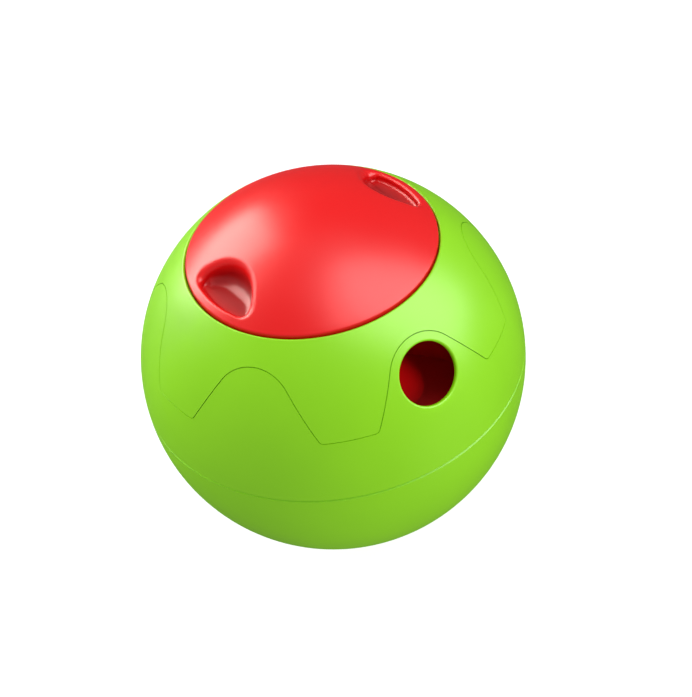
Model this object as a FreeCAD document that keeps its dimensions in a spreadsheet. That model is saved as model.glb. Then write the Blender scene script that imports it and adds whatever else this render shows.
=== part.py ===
import FreeCAD, Part
import math
import os
import re
import Sketcher
from FreeCAD import Placement, Rotation, Vector

# An eight inch ball that rolls treats out of one hole as a clockwork drum inside brings each pod round.
# Every size is in millimetres and every angle in degrees. Heights are above the middle of the ball, and
# each finished piece is lifted by centre_height, so that the flat land under the ball lies at z = 0.
SIZES = {
    # casing
    "ball_r": (101.6, "outside radius of the closed ball"),
    "wall": (3.0, "wall of the casing"),
    "land_w": (2.4, "width of the flat land round the battery door"),
    "hole_r": (16.0, "dispensing hole"),
    "hole_lat": (29.2, "latitude of the hole and of the six tongues"),
    "hole_round": (0.9, "rounding of the hole's edges"),
    "tongue_r": (21.0, "round end of a tongue, square to the hole"),
    "flank_angle": (34.6, "lean of a tongue's straight flank"),
    "trough_z": (34.4, "height of the wavy seam between tongues"),
    "trough_round": (3.0, "corner between a flank and the trough"),
    "seam_gap": (0.4, "open width of the wavy seam"),
    "lap": (3.0, "overlap of the inner half of the wall at a seam"),
    "lap_clear": (0.15, "clearance in a lap"),
    "groove": (0.7, "depth of the groove round the middle"),
    # lid and its seat
    "lid_r": (64.35, "edge of the lid"),
    "lid_gap": (0.6, "gap round the lid"),
    "lid_wall": (2.6, "wall of the lid"),
    "lid_round": (1.3, "rounding of the lid's edge"),
    "mouth_round": (0.8, "rounding of the mouth's edge"),
    "seat_drop": (5.4, "seat of the lid below the lid's edge"),
    "seat_t": (2.8, "thickness of the seat ring"),
    "seat_w": (6.55, "width of the seat ring under the lid"),
    "rest_gap": (0.3, "gap between faces that slide past each other"),
    "skirt_gap": (0.4, "gap between the lid's skirt and the mouth"),
    "skirt_wall": (2.2, "wall of the skirt"),
    "rim_wall": (2.55, "wall round the edge of the lid"),
    "lug_reach": (4.1, "how far a lug stands out of the skirt"),
    "lug_t": (2.8, "thickness of a lug"),
    "lug_span": (24.0, "angle that a lug covers"),
    "notch_play": (1.5, "play each side of a lug in its notch"),
    "lid_turn": (35.0, "turn from open to locked"),
    "key_shift": (40.0, "angle from a lug to the next key"),
    "key_w": (5.0, "width of a key"),
    "key_t": (2.6, "thickness of a key"),
    "key_clear": (0.3, "clearance round a key"),
    "recess_in": (3.35, "middle of a finger recess, inside the lid's edge"),
    "recess_r": (20.3, "radius of the recess wall"),
    "recess_drop": (1.2, "floor of the recess below the lid's edge"),
    "recess_wall": (2.2, "wall under and behind the recess"),
    "recess_cove": (3.0, "cove round the recess floor"),
    "recess_corner": (3.4, "upright corner of the recess"),
    "recess_round": (1.5, "rounding of the recess edge"),
    "lip_w": (5.05, "width of the lip in front of the recess"),
    "boss_r": (7.0, "boss in the middle of the lid"),
    # liner under the lid
    "liner_t": (1.6, "thickness of the liner"),
    "liner_gap": (0.8, "gap over the drum"),
    "liner_hub_r": (9.0, "hub of the liner"),
    "pivot_r": (3.0, "shoulder of the pivot screw"),
    "pivot_fit": (0.06, "radial clearance on the pivot screw"),
    "pivot_head_r": (6.0, "head of the pivot screw"),
    "pivot_head_t": (2.2, "thickness of that head"),
    "pivot_web": (1.7, "web of the liner that the screw holds"),
    "pivot_thread": (9.0, "thread length in the boss"),
    # drum of pods
    "drum_gap": (1.0, "gap between the drum and the casing"),
    "ring_t": (6.2, "height of the ring gear under the drum"),
    "drum_floor": (2.4, "thickness of the drum's floor"),
    "pod_skin": (2.0, "wall between the hub and a pod"),
    "vane": (2.4, "wall between two pods"),
    "pod_wall": (2.2, "wall behind a pod"),
    "hub_r": (26.0, "bore of the drum"),
    "hub_wall": (2.2, "wall round the bore"),
    "panel_drop": (4.6, "top of the hub below the top of the pod walls"),
    "hub_fit": (0.35, "radial clearance on the column"),
    "magnet_at": (60.0, "ring of index magnets"),
    "magnet_r": (2.0, "index magnet"),
    "magnet_t": (3.0, "length of a magnet"),
    "magnet_boss": (3.5, "boss that holds a magnet"),
    # ring gear and drive
    "ring_module": (1.0, "tooth size of the ring gear and its pinion"),
    "ring_teeth": (70, "teeth of the ring gear"),
    "drive_teeth": (14, "teeth of the drive pinion"),
    "ring_step": (2.6, "bore of the ring gear outside the bore of the drum"),
    "ring_screw_in": (2.6, "screws of the ring gear outside its bore"),
    "train_module": (0.8, "tooth size of the reduction train"),
    "big_teeth": (36, "teeth of each large wheel"),
    "small_teeth": (12, "teeth of each small pinion"),
    "tip_share": (0.8, "addendum as a share of the module"),
    "root_share": (1.05, "dedendum as a share of the module"),
    "backlash": (0.12, "thinning of each tooth"),
    "face_w": (3.0, "face width of a train wheel"),
    "layer_pitch": (3.5, "height from one layer of the train to the next"),
    "train_top": (1.7, "top of the first layer, below the deck"),
    "drive_angle": (0.0, "direction of the drive shaft from the axis"),
    "second_angle": (95.0, "direction from the drive shaft to the second wheel"),
    "first_angle": (115.0, "direction from the second wheel to the first"),
    "motor_angle": (150.0, "direction from the first wheel to the motor"),
    "pin_r": (1.5, "fixed pins of the train"),
    "drive_shaft_r": (2.0, "drive shaft"),
    "motor_shaft_r": (1.0, "motor shaft"),
    "fit": (0.05, "radial running clearance on pins and shafts"),
    "bush_wall": (1.2, "wall of a shaft bush"),
    "wheel_gap": (1.5, "gap between the wheels and the gearbox wall"),
    "box_wall": (1.6, "wall of the gearbox cover"),
    "box_depth": (13.0, "inside depth of the gearbox"),
    "box_floor": (2.0, "floor of the gearbox cover"),
    "pin_seat": (1.5, "depth of a pin in its seat"),
    "ear_r": (4.0, "screw ear of the gearbox cover"),
    "motor_r": (10.0, "motor can"),
    "motor_flat": (15.1, "across the motor's flats"),
    "motor_l": (22.0, "length of the motor can"),
    "motor_cap": (3.0, "thickness of the motor's end cap"),
    "motor_screw_at": (5.5, "motor screws from the motor shaft"),
    # deck and column
    "deck_t": (3.0, "thickness of the deck"),
    "deck_clear": (0.3, "gap round the deck"),
    "land_t": (2.0, "height of the ring that carries the thrust washer"),
    "washer_t": (0.5, "thickness of the thrust washer"),
    "washer_step": (1.0, "bore of the thrust washer outside the bore of the drum"),
    "washer_w": (6.0, "width of the thrust washer"),
    "column_wall": (2.2, "wall of the column"),
    "panel_gap": (0.4, "gap round the control panel"),
    "panel_t": (2.2, "thickness of the control panel"),
    "board_t": (1.6, "thickness of a circuit board"),
    "switch_h": (3.4, "height of the switch on the control board"),
    "post_at": (18.0, "ring of screw posts in the column"),
    "post_r": (3.4, "screw post"),
    "button_r": (6.0, "button"),
    "button_flange": (1.3, "flange that keeps the button in"),
    "button_stand": (1.3, "how far the button stands above the panel"),
    "button_travel": (0.8, "travel of the button"),
    "button_fit": (0.35, "clearance round the button"),
    "led_at": (16.0, "indicator lights from the axis"),
    "led_r": (1.5, "indicator light"),
    # screws
    "screw_r": (1.25, "shank of a casing screw"),
    "head_r": (2.7, "head of a casing screw"),
    "head_t": (1.8, "thickness of that head"),
    "small_r": (0.9, "shank of a small screw"),
    "small_head_r": (1.9, "head of a small screw"),
    "small_head_t": (1.2, "thickness of a small head"),
    "hole_play": (0.25, "radial play of a screw in its clearance hole"),
    "head_play": (0.4, "radial play of a head in its counterbore"),
    "deck_screw_in": (7.6, "screws between deck and casing, inside the wall"),
    "deck_boss_r": (4.0, "boss for such a screw"),
    "boss_gap": (1.5, "gap between the deck's bosses and the drum"),
    "rib_t": (2.2, "rib from a boss to the wall"),
    "base_screw_at": (70.0, "ring of screws in the base"),
    "base_post_r": (5.2, "hollow post for a base screw"),
    "base_web_z": (-14.0, "web that the base screw's head pulls on"),
    "base_web_t": (3.0, "thickness of that web"),
    # battery well and door
    "cell_r": (13.1, "radius of a battery cell"),
    "cell_l": (48.1, "length of a cell without its stud"),
    "stud_r": (3.3, "stud of a cell"),
    "stud_t": (1.5, "height of a stud"),
    "cell_web": (2.2, "distance between the two cells"),
    "cell_clear": (0.3, "clearance round a cell"),
    "spring_l": (4.2, "height of a pressed contact spring"),
    "spring_r": (5.5, "outside radius of a contact spring"),
    "spring_wire": (0.9, "wall of a contact spring"),
    "plate_t": (0.4, "thickness of a contact plate"),
    "cradle_wall": (1.0, "least wall of the cell cradle"),
    "well_wall": (2.2, "wall of the battery well"),
    "well_roof": (2.2, "roof of the battery well"),
    "cradle_gap": (0.2, "gap round the cell cradle"),
    "door_lap": (1.4, "overlap of the door and the well's shoulder"),
    "door_gap": (0.4, "gap round the battery door"),
    "door_t": (2.3, "thickness of the door"),
    "door_in": (2.5, "depth of the door above the land"),
    "seal_t": (0.3, "pressed thickness of the door's seal"),
    "step_gap": (1.0, "gap round the step on the door's inner face"),
    "step_t": (0.7, "height of that step"),
    "door_screw_at": (22.5, "door screws from the axis"),
    "grip_w": (3.0, "finger slot in the door"),
}

# Sizes that follow from the ones above. A name may use any earlier name.
FORMULAS = {
    "centre_height": "sqrt(ball_r^2 - foot_r^2)",
    "inner_r": "ball_r - wall",
    "half_wall_r": "ball_r - wall/2",
    "opening_r": "lid_r + lid_gap",
    "seat_low": "seat_z - seat_t",
    "lid_low": "seat_z + rest_gap",
    "skirt_r": "mouth_r - skirt_gap",
    "skirt_in": "skirt_r - skirt_wall",
    "lug_r": "skirt_r + lug_reach",
    "lug_high": "seat_low - rest_gap",
    "lug_low": "lug_high - lug_t",
    "rim_in": "lid_r - rim_wall",
    "liner_low": "drum_top + liner_gap",
    "liner_high": "liner_low + liner_t",
    "head_low": "liner_low + 0.4",
    "head_high": "head_low + pivot_head_t",
    "web_low": "head_high + rest_gap/2",
    "hub_high": "web_low + pivot_web",
    "boss_low": "hub_high + rest_gap",
    "drum_r": "inner_r - drum_gap",
    "pod_r": "pod_at*sin(30) - vane/2",
    "column_r": "hub_r - hub_fit",
    "column_in": "column_r - column_wall",
    "panel_low": "hub_top + rest_gap",
    "panel_high": "panel_low + panel_t",
    "ring_pitch": "ring_module*ring_teeth/2",
    "drive_pitch": "ring_module*drive_teeth/2",
    "drive_at": "ring_pitch + drive_pitch",
    "mesh_at": "train_module*(big_teeth + small_teeth)/2",
    "drive_x": "drive_at*cos(drive_angle)",
    "drive_y": "drive_at*sin(drive_angle)",
    "second_x": "drive_x + mesh_at*cos(second_angle)",
    "second_y": "drive_y + mesh_at*sin(second_angle)",
    "first_x": "second_x + mesh_at*cos(first_angle)",
    "first_y": "second_y + mesh_at*sin(first_angle)",
    "motor_x": "first_x + mesh_at*cos(motor_angle)",
    "motor_y": "first_y + mesh_at*sin(motor_angle)",
    "big_tip": "train_module*(big_teeth/2 + tip_share)",
    "small_tip": "train_module*(small_teeth/2 + tip_share)",
    "box_low": "0 - box_depth",
    "box_under": "box_low - box_floor",
    "layer_a": "0 - train_top - face_w",
    "layer_b": "layer_a - layer_pitch",
    "layer_c": "layer_b - layer_pitch",
    "land_z": "deck_t + land_t",
    "deck_r": "inner_r - deck_clear",
    "foot_z": "0 - centre_height",
    "door_low": "foot_z + door_in",
    "door_high": "door_low + door_t",
    "shoulder_z": "door_high + seal_t",
    "opening_door": "door_r + door_gap",
    "bridge_low": "door_high + step_t",
    "bridge_high": "bridge_low + plate_t",
    "cell_stack": "cell_l + stud_t + spring_l",
    "top_plate": "bridge_high + cell_stack",
    "well_top": "top_plate + plate_t",
    "cradle_r": "cell_at + cell_r + cell_clear + cradle_wall",
    "cradle_low": "bridge_high + rest_gap",
    "rim_z": "sqrt(ball_r^2 - lid_r^2)",
    "seat_z": "rim_z - seat_drop",
    "mouth_r": "lid_r - seat_w",
    "recess_z": "rim_z - recess_drop",
    "recess_at": "lid_r - recess_in",
    "lip_r": "lid_r - lip_w",
    "drum_top": "lug_low - rest_gap - liner_t - liner_gap",
    "hub_top": "drum_top - panel_drop",
    "pod_at": "2*(hub_r + hub_wall + pod_skin) - vane",
    "ring_z": "land_z + washer_t + rest_gap",
    "drum_z": "ring_z + ring_t",
    "ring_bore": "hub_r + ring_step",
    "ring_screw_at": "ring_bore + ring_screw_in",
    "washer_in": "hub_r + washer_step",
    "washer_out": "washer_in + washer_w",
    "panel_r": "hub_r + hub_wall - panel_gap",
    "deck_screw_at": "inner_r - deck_screw_in",
    "boss_z": "drum_z - boss_gap",
    "cell_at": "cell_r + cell_web/2",
    "well_r": "cradle_r + cradle_gap",
    "door_r": "well_r + door_lap",
    "step_r": "well_r - step_gap",
    "foot_r": "opening_door + land_w",
    "flange_low": "panel_low - rest_gap - button_flange",
    "board_z": "flange_low - button_travel - rest_gap - switch_h - board_t",
    "panel_screw_at": "column_in - 2.4",
}

TONGUES = 6
LUGS = 3
FIRST_LUG = 30
BOARD_STANDOFF = 3
DRUM_TURN = 30

doc = FreeCAD.newDocument("treat_ball")
sheet = doc.addObject("Spreadsheet::Sheet", "size")
for row, (alias, (number, note)) in enumerate(SIZES.items(), 1):
    sheet.set("A%d" % row, note)
    sheet.set("B%d" % row, str(number))
    sheet.setAlias("B%d" % row, alias)
doc.recompute()

formula_words = re.compile(r"\b(" + "|".join(FORMULAS) + r")\b")
size_words = re.compile(r"\b(" + "|".join(SIZES) + r")\b")
pieces = []


def tied(text):
    """The text of an expression on the sheet, with each formula written out."""
    text = str(text)
    while formula_words.search(text):
        text = formula_words.sub(lambda found: "(" + FORMULAS[found.group(1)] + ")", text)
    return size_words.sub(r"size.\1", text)


def value(text):
    return float(sheet.evalExpression(tied(text)))


def bind(item, **rules):
    for name, text in rules.items():
        item.setExpression(name, tied(text))
    return item


def place(item, at=(0, 0, 0), turn=0, tilt=0):
    """Puts an item at a point, tilted about X and then turned about Z, all tied to the sheet."""
    point = "create(<<vector>>; %s; %s; %s)" % tuple(tied(number) for number in at)
    angles = "create(<<rotation>>; %s; 0; %s)" % (tied(turn), tied(tilt))
    item.setExpression("Placement", "create(<<placement>>; %s; %s)" % (point, angles))
    return item


def made(kind, name, at=(0, 0, 0), turn=0, tilt=0, **sizes):
    item = bind(doc.addObject("Part::" + kind, name), **sizes)
    return place(item, at, turn, tilt)


def ball(name, radius):
    return made("Sphere", name, turn=90, Radius=radius)


def rod(name, radius, low, high, x=0, y=0, turn=0):
    """An upright cylinder from one height to another."""
    return made("Cylinder", name, (x, y, low), turn, Radius=radius, Height="(%s) - (%s)" % (high, low))


def sector(name, radius, low, high, start, span):
    """A slice of a disc about the axis, between two heights."""
    item = rod(name, radius, low, high, turn=start)
    return bind(item, Angle=span)


def bar(name, length, width, low, high, x=0, y=0, turn=0):
    """A box that starts at x along its own length, centred on its width, turned about the axis."""
    item = bind(doc.addObject("Part::Box", name), Length=length, Width=width, Height="(%s) - (%s)" % (high, low))
    shift = "(%s) - (%s)/2" % (y, width)
    along = "(%s)*cos(%s) - (%s)*sin(%s)" % (x, turn, shift, turn)
    across = "(%s)*sin(%s) + (%s)*cos(%s)" % (x, turn, shift, turn)
    return place(item, (along, across, low), turn)


def cut(name, base, *tools):
    tool = tools[0] if len(tools) == 1 else fuse(name + "_tools", *tools)
    item = doc.addObject("Part::Cut", name)
    item.Base = base
    item.Tool = tool
    return item


def fuse(name, *items):
    item = doc.addObject("Part::MultiFuse", name)
    item.Shapes = list(items)
    return item


def common(name, *items):
    item = doc.addObject("Part::MultiCommon", name)
    item.Shapes = list(items)
    return item


def group(name, *items):
    item = doc.addObject("Part::Compound", name)
    item.Links = list(items)
    return item


def rounded(name, base, radius, *tests):
    """Rounds each edge that passes one of the tests. A test takes an edge."""
    doc.recompute()
    picked = []
    for number, edge in enumerate(base.Shape.Edges, 1):
        if not edge.Degenerated and any(test(edge) for test in tests):
            picked.append((number, radius, radius))
    if not picked:
        raise RuntimeError("no edge to round on " + name)
    item = doc.addObject("Part::Fillet", name)
    item.Base = base
    item.Edges = picked
    return item


def ring_edge(radius, height, slack=0.05):
    """A test for a round edge about the axis, at a radius and a height."""
    def test(edge):
        box = edge.BoundBox
        level = abs(box.ZMin - height) < slack and abs(box.ZMax - height) < slack
        reach = max(abs(box.XMax), abs(box.YMax), abs(box.XMin), abs(box.YMin))
        return level and abs(reach - radius) < slack and box.DiagonalLength > 2*slack
    return test


def body(name, many=False):
    item = doc.addObject("PartDesign::Body", name)
    item.AllowCompound = many
    return item


def origin_part(owner, role):
    return [item for item in owner.Origin.OriginFeatures if item.Role == role][0]


def sketch_on(owner, role, height=0, shift=0, lean=None):
    """A sketch on one of the body's own planes, raised along the plane's normal."""
    sketch = owner.newObject("Sketcher::SketchObject", owner.Name + "_sketch")
    sketch.AttachmentSupport = (origin_part(owner, role), [""])
    sketch.MapMode = "FlatFace"
    if lean is not None:
        sketch.AttachmentOffset = Placement(Vector(), Rotation(Vector(-1, 0, 0), 1))
        sketch.setExpression("AttachmentOffset.Rotation.Angle", tied(lean))
    sketch.setExpression("AttachmentOffset.Base.x", tied(shift))
    sketch.setExpression("AttachmentOffset.Base.z", tied(height))
    return sketch


def hold(sketch, kind, element, point, text):
    """Holds one coordinate or radius of a sketch element to an expression."""
    where = (element, point) if point else (element,)
    number = sketch.addConstraint(Sketcher.Constraint(kind, *where, value(text)))
    sketch.setExpression("Constraints[%d]" % number, tied(text))


def outline(sketch, corners, arcs=None):
    """A closed outline. arcs gives, for the side after a corner, its centre x, centre y and radius."""
    arcs = arcs or {}
    points = [Vector(value(x), value(y), 0) for x, y in corners]
    first = sketch.GeometryCount
    ends = []
    for number, start in enumerate(points):
        end = points[(number + 1) % len(points)]
        if number not in arcs:
            sketch.addGeometry(Part.LineSegment(start, end), False)
            ends.append((1, 2))
            continue
        x, y, radius = arcs[number]
        centre = Vector(value(x), value(y), 0)
        angles = [math.atan2(point.y - centre.y, point.x - centre.x) for point in (start, end)]
        forward = (start - centre).cross(end - centre).z > 0
        if not forward:
            angles.reverse()
        circle = Part.Circle(centre, Vector(0, 0, 1), value(radius))
        element = sketch.addGeometry(Part.ArcOfCircle(circle, *angles), False)
        ends.append((1, 2) if forward else (2, 1))
        hold(sketch, "DistanceX", element, 3, x)
        hold(sketch, "DistanceY", element, 3, y)
        hold(sketch, "Radius", element, 0, radius)
    count = len(points)
    for number in range(count):
        after = (number + 1) % count
        meet = (first + number, ends[number][1], first + after, ends[after][0])
        sketch.addConstraint(Sketcher.Constraint("Coincident", *meet))
    for number, (x, y) in enumerate(corners):
        on_arc = number in arcs or (number - 1) % count in arcs
        if not on_arc:
            hold(sketch, "DistanceX", first + number, ends[number][0], x)
        hold(sketch, "DistanceY", first + number, ends[number][0], y)
    return sketch


def circles(sketch, *rings):
    for x, y, radius in rings:
        shape = Part.Circle(Vector(value(x), value(y), 0), Vector(0, 0, 1), value(radius))
        element = sketch.addGeometry(shape, False)
        hold(sketch, "DistanceX", element, 3, x)
        hold(sketch, "DistanceY", element, 3, y)
        hold(sketch, "Radius", element, 0, radius)
    return sketch


def feature(owner, kind, sketch, **settings):
    item = owner.newObject("PartDesign::" + kind, owner.Name + "_" + kind.lower())
    item.Profile = sketch
    for name, setting in settings.items():
        setattr(item, name, setting)
    sketch.Visibility = False
    doc.recompute()
    return item


def turned(name, corners, arcs=None, shift=0, many=False):
    """A body turned about the Z axis, or about an upright line that is shift away from it."""
    owner = body(name, many)
    sketch = outline(sketch_on(owner, "XZ_Plane", shift=shift), corners, arcs)
    spin = feature(owner, "Revolution", sketch, ReferenceAxis=(sketch, ["V_Axis"]), Angle=360)
    return owner, spin


def repeat(owner, features, count):
    doc.recompute()
    item = owner.newObject("PartDesign::PolarPattern", owner.Name + "_pattern")
    item.Originals = features
    item.Axis = (origin_part(owner, "Z_Axis"), [""])
    item.Angle = 360
    item.Occurrences = count
    owner.Tip = item
    doc.recompute()
    return item


def tube(radius_in, radius_out, low, high):
    """The outline of a plain ring, for turning."""
    return [(radius_in, low), (radius_out, low), (radius_out, high), (radius_in, high)]


def finish(item, label, turn=0, x=0, y=0):
    """Names a piece and lifts it from the middle of the ball to its place above the floor."""
    item.Label = label
    place(item, (x, y, "centre_height"), turn)
    pieces.append(item)
    return item


def screws(name, radius, head_radius, head_height, head_z, tip_z, at, count, start=0):
    """Screws on a ring, tips up, each with a cross recess in its head."""
    low = "(%s)" % head_z
    neck = "(%s) + (%s)" % (head_z, head_height)
    corners = [(0, low), (head_radius, low), (head_radius, neck), (radius, neck), (radius, tip_z), (0, tip_z)]
    owner, spin = turned(name, corners, shift=at, many=True)
    cross = sketch_on(owner, "XY_Plane", height=low, shift=at)
    arm = "(%s)*0.6" % head_radius
    thin = "(%s)*0.16" % head_radius
    quarter = [(arm, thin), (thin, thin), (thin, arm)]
    corners = quarter + [("-(%s)" % x, y) for x, y in reversed(quarter)]
    corners += [("-(%s)" % x, "-(%s)" % y) for x, y in quarter]
    corners += [(x, "-(%s)" % y) for x, y in reversed(quarter)]
    outline(cross, corners)
    slot = feature(owner, "Pocket", cross, Length=value("(%s)*0.6" % head_height), Reversed=True)
    if count > 1:
        repeat(owner, [spin, slot], count)
    return finish(owner, name, start)


def wave(name, grow, low, fillet=None):
    """Everything below the wavy seam: a disc up to the troughs and six tongues square to the hole's
    direction. grow moves the whole seam outwards."""
    top = "trough_z + (%s)" % grow
    owner, disc = turned(name, tube(0, "ball_r + 10", low, top))
    arc_r = "tongue_r + (%s)" % grow
    drop = "(ball_r + 10)*tan(hole_lat) - trough_z"
    arc_x = "(%s)*cos(flank_angle)" % arc_r
    arc_y = "(%s)*sin(flank_angle)" % arc_r
    foot_x = "(%s) + ((%s) + (%s))*tan(flank_angle)" % (arc_x, arc_y, drop)
    corners = [(arc_x, arc_y), ("-(%s)" % arc_x, arc_y), ("-(%s)" % foot_x, "-(%s)" % drop), (foot_x, "-(%s)" % drop)]
    sketch = outline(sketch_on(owner, "XZ_Plane", lean="hole_lat"), corners, {0: (0, 0, arc_r)})
    tongue = feature(owner, "Pad", sketch, Length=value("ball_r*1.25"))
    tongue.setExpression("Length", tied("ball_r*1.25"))
    repeat(owner, [tongue], TONGUES)
    if fillet:
        height = value(top)
        ring = cut(name + "_ring", owner, rod(name + "_core", 60, "(%s) - 1" % low, "ball_r"))
        ring = common(name + "_limit", ring, rod(name + "_out", "ball_r + 5", "(%s) - 1" % low, "ball_r"))
        def corner(edge):
            return edge.Curve.TypeId == "Part::GeomLine" and level_edge(height)(edge)
        return rounded(name + "_corner", ring, value(fillet), corner)
    return owner


def hole_edge(edge):
    """A test for the round edges of the dispensing hole, which face the hole's direction."""
    if edge.Curve.TypeId != "Part::GeomCircle":
        return False
    lat = math.radians(value("hole_lat"))
    along = Vector(0, -math.cos(lat), math.sin(lat))
    return abs(edge.Curve.Axis.dot(along)) > 0.999 and abs(edge.Curve.Radius - value("hole_r")) < 0.01


hollow = cut("hollow_ball", ball("ball_outside", "ball_r"), ball("ball_inside", "inner_r"))
outside_half = cut("outer_layer", ball("outer_layer_out", "ball_r + 5"), ball("outer_layer_in", "half_wall_r"))
groove_corners = [("ball_r - groove", 0), ("ball_r + 1", "groove + 1"), ("ball_r + 1", "-(groove + 1)")]
middle_groove, groove_spin = turned("middle_groove", groove_corners)


# The side casing: from the groove round the middle up to the wavy seam, with the dispensing hole.
def side_shell():
    raw = common("side_raw", hollow, wave("side_lap", "lap", 0))
    outer_trim = cut("side_trim", outside_half, wave("side_seam", "-(seam_gap/2)", "0 - 20", "trough_round + seam_gap/2"))
    bosses = []
    for number in range(TONGUES):
        turn = number*360/TONGUES
        x = "deck_screw_at*cos(%g)" % turn
        y = "deck_screw_at*sin(%g)" % turn
        bosses.append(rod("side_boss", "deck_boss_r", "deck_t", "boss_z", x, y))
        bosses.append(bar("side_rib", "ball_r - deck_screw_at", "rib_t", "deck_t", "boss_z", "deck_screw_at", 0, turn))
    posts = common("side_posts", fuse("side_bosses", *bosses), ball("side_post_limit", "ball_r - wall/3"))
    hole = made("Cylinder", "side_hole", tilt="90 - hole_lat", Radius="hole_r", Height="ball_r*1.2")
    rebate = rod("side_rebate", "half_wall_r + lap_clear", -1, "lap + lap_clear")
    pilots = []
    for number in range(TONGUES):
        turn = number*360/TONGUES
        x = "deck_screw_at*cos(%g)" % turn
        y = "deck_screw_at*sin(%g)" % turn
        pilots.append(rod("side_pilot", "screw_r", "deck_t - 1", "boss_z - 1", x, y))
    walls = cut("side_walls", raw, outer_trim, rebate)
    body_shape = fuse("side_body", walls, posts)
    holed = cut("side_holed", body_shape, hole, middle_groove, *pilots)
    finish(rounded("side_shell", holed, value("hole_round"), hole_edge), "side_shell")


# The top casing: from the wavy seam up to the mouth, with the ring that the lid seats and locks under.
def top_shell():
    cavity = common("top_cavity", ball("top_cavity_ball", "inner_r"), rod("top_cavity_disc", "ball_r + 5", "0 - ball_r - 5", "seat_low"))
    mouth = rod("top_mouth", "mouth_r", "seat_low - 1", "ball_r + 5")
    bore = rod("top_bore", "opening_r", "seat_z", "ball_r + 5")
    openings = []
    stops = []
    for number in range(LUGS):
        lug = FIRST_LUG + number*360/LUGS
        start = "%g - lug_span/2 - notch_play" % lug
        span = "lug_span + 2*notch_play"
        openings.append(sector("top_notch", "lug_r + key_clear + 0.1", "seat_low - 0.5", "ball_r", start, span))
        key = "%g + key_shift" % lug
        length = "key_t + key_clear + 0.5"
        openings.append(bar("top_key_slot", length, "key_w + 2*key_clear", "seat_low - 0.5", "ball_r", "mouth_r - 0.5", 0, key))
        low = "%g - lug_span/2 - lid_turn - 4" % lug
        high = "%g + lug_span/2 + notch_play" % lug
        for start in (low, high):
            stops.append(sector("top_stop", "lug_r + key_clear", "lug_low", "seat_low", start, 3))
    stop_rings = cut("top_stop_rings", fuse("top_stops", *stops), rod("top_stop_bore", "mouth_r", "lug_low - 1", "seat_z"))
    roof_zone = cut("top_roof", ball("top_ball", "ball_r"), cavity)
    reach = rod("top_stop_root", "lug_r + key_clear", "seat_low - 0.2", "seat_low + 0.5")
    seam = fuse("top_below", wave("top_seam", "seam_gap/2", 5, "trough_round - seam_gap/2"),
                rod("top_below_disc", "ball_r + 5", "0 - ball_r - 5", 15))
    lap = common("top_lap", ball("top_lap_ball", "half_wall_r + lap_clear"), wave("top_lap_wave", "lap + lap_clear", 0))
    walled = cut("top_walls", roof_zone, mouth, bore, seam, lap, *openings)
    joined = fuse("top_joined", walled, stop_rings)
    edge_height = "sqrt(ball_r^2 - opening_r^2)"
    test = ring_edge(value("opening_r"), value(edge_height))
    finish(rounded("top_shell", joined, value("mouth_round"), test), "top_shell")


# The base: the lower half of the ball, with the flat land, the battery well and the screw posts.
def base_shell():
    raw = common("base_half", hollow, rod("base_half_disc", "ball_r + 5", "foot_z", 0))
    lip_ring, lip_spin = turned("base_lip", tube("inner_r", "half_wall_r", "0 - 4", "lap"))
    posts = []
    holes = []
    for number in range(4):
        turn = number*90
        x = "base_screw_at*cos(%g)" % turn
        y = "base_screw_at*sin(%g)" % turn
        posts.append(rod("base_post", "base_post_r", "foot_z", 0, x, y))
        holes.append(rod("base_counterbore", "head_r + head_play", "foot_z - 5", "base_web_z", x, y))
        holes.append(rod("base_clearance", "screw_r + hole_play", "foot_z", 1, x, y))
        holes.append(rod("base_post_core", "screw_r + 1.2", "base_web_z + base_web_t", 1, x, y))
    well = rod("base_well", "well_r + well_wall", "foot_z", "well_top + well_roof")
    inside = common("base_inside", fuse("base_inner", well, *posts), ball("base_limit", "ball_r - wall/3"), rod("base_limit_disc", "ball_r", "foot_z", 10))
    ring = common("base_lip_limit", lip_ring, ball("base_lip_ball", "half_wall_r"))
    joined = fuse("base_joined", raw, ring, inside)
    room = rod("base_well_room", "well_r", "foot_z - 1", "well_top")
    mouth = rod("base_door_mouth", "opening_door", "foot_z - 1", "shoulder_z")
    wires = [rod("base_wire_hole", "1.2", "well_top - 1", "well_top + well_roof + 1", x, 0) for x in ("cell_at", "0 - cell_at")]
    finish(cut("base_shell", joined, room, mouth, middle_groove, *holes, *wires), "base_shell")


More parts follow.
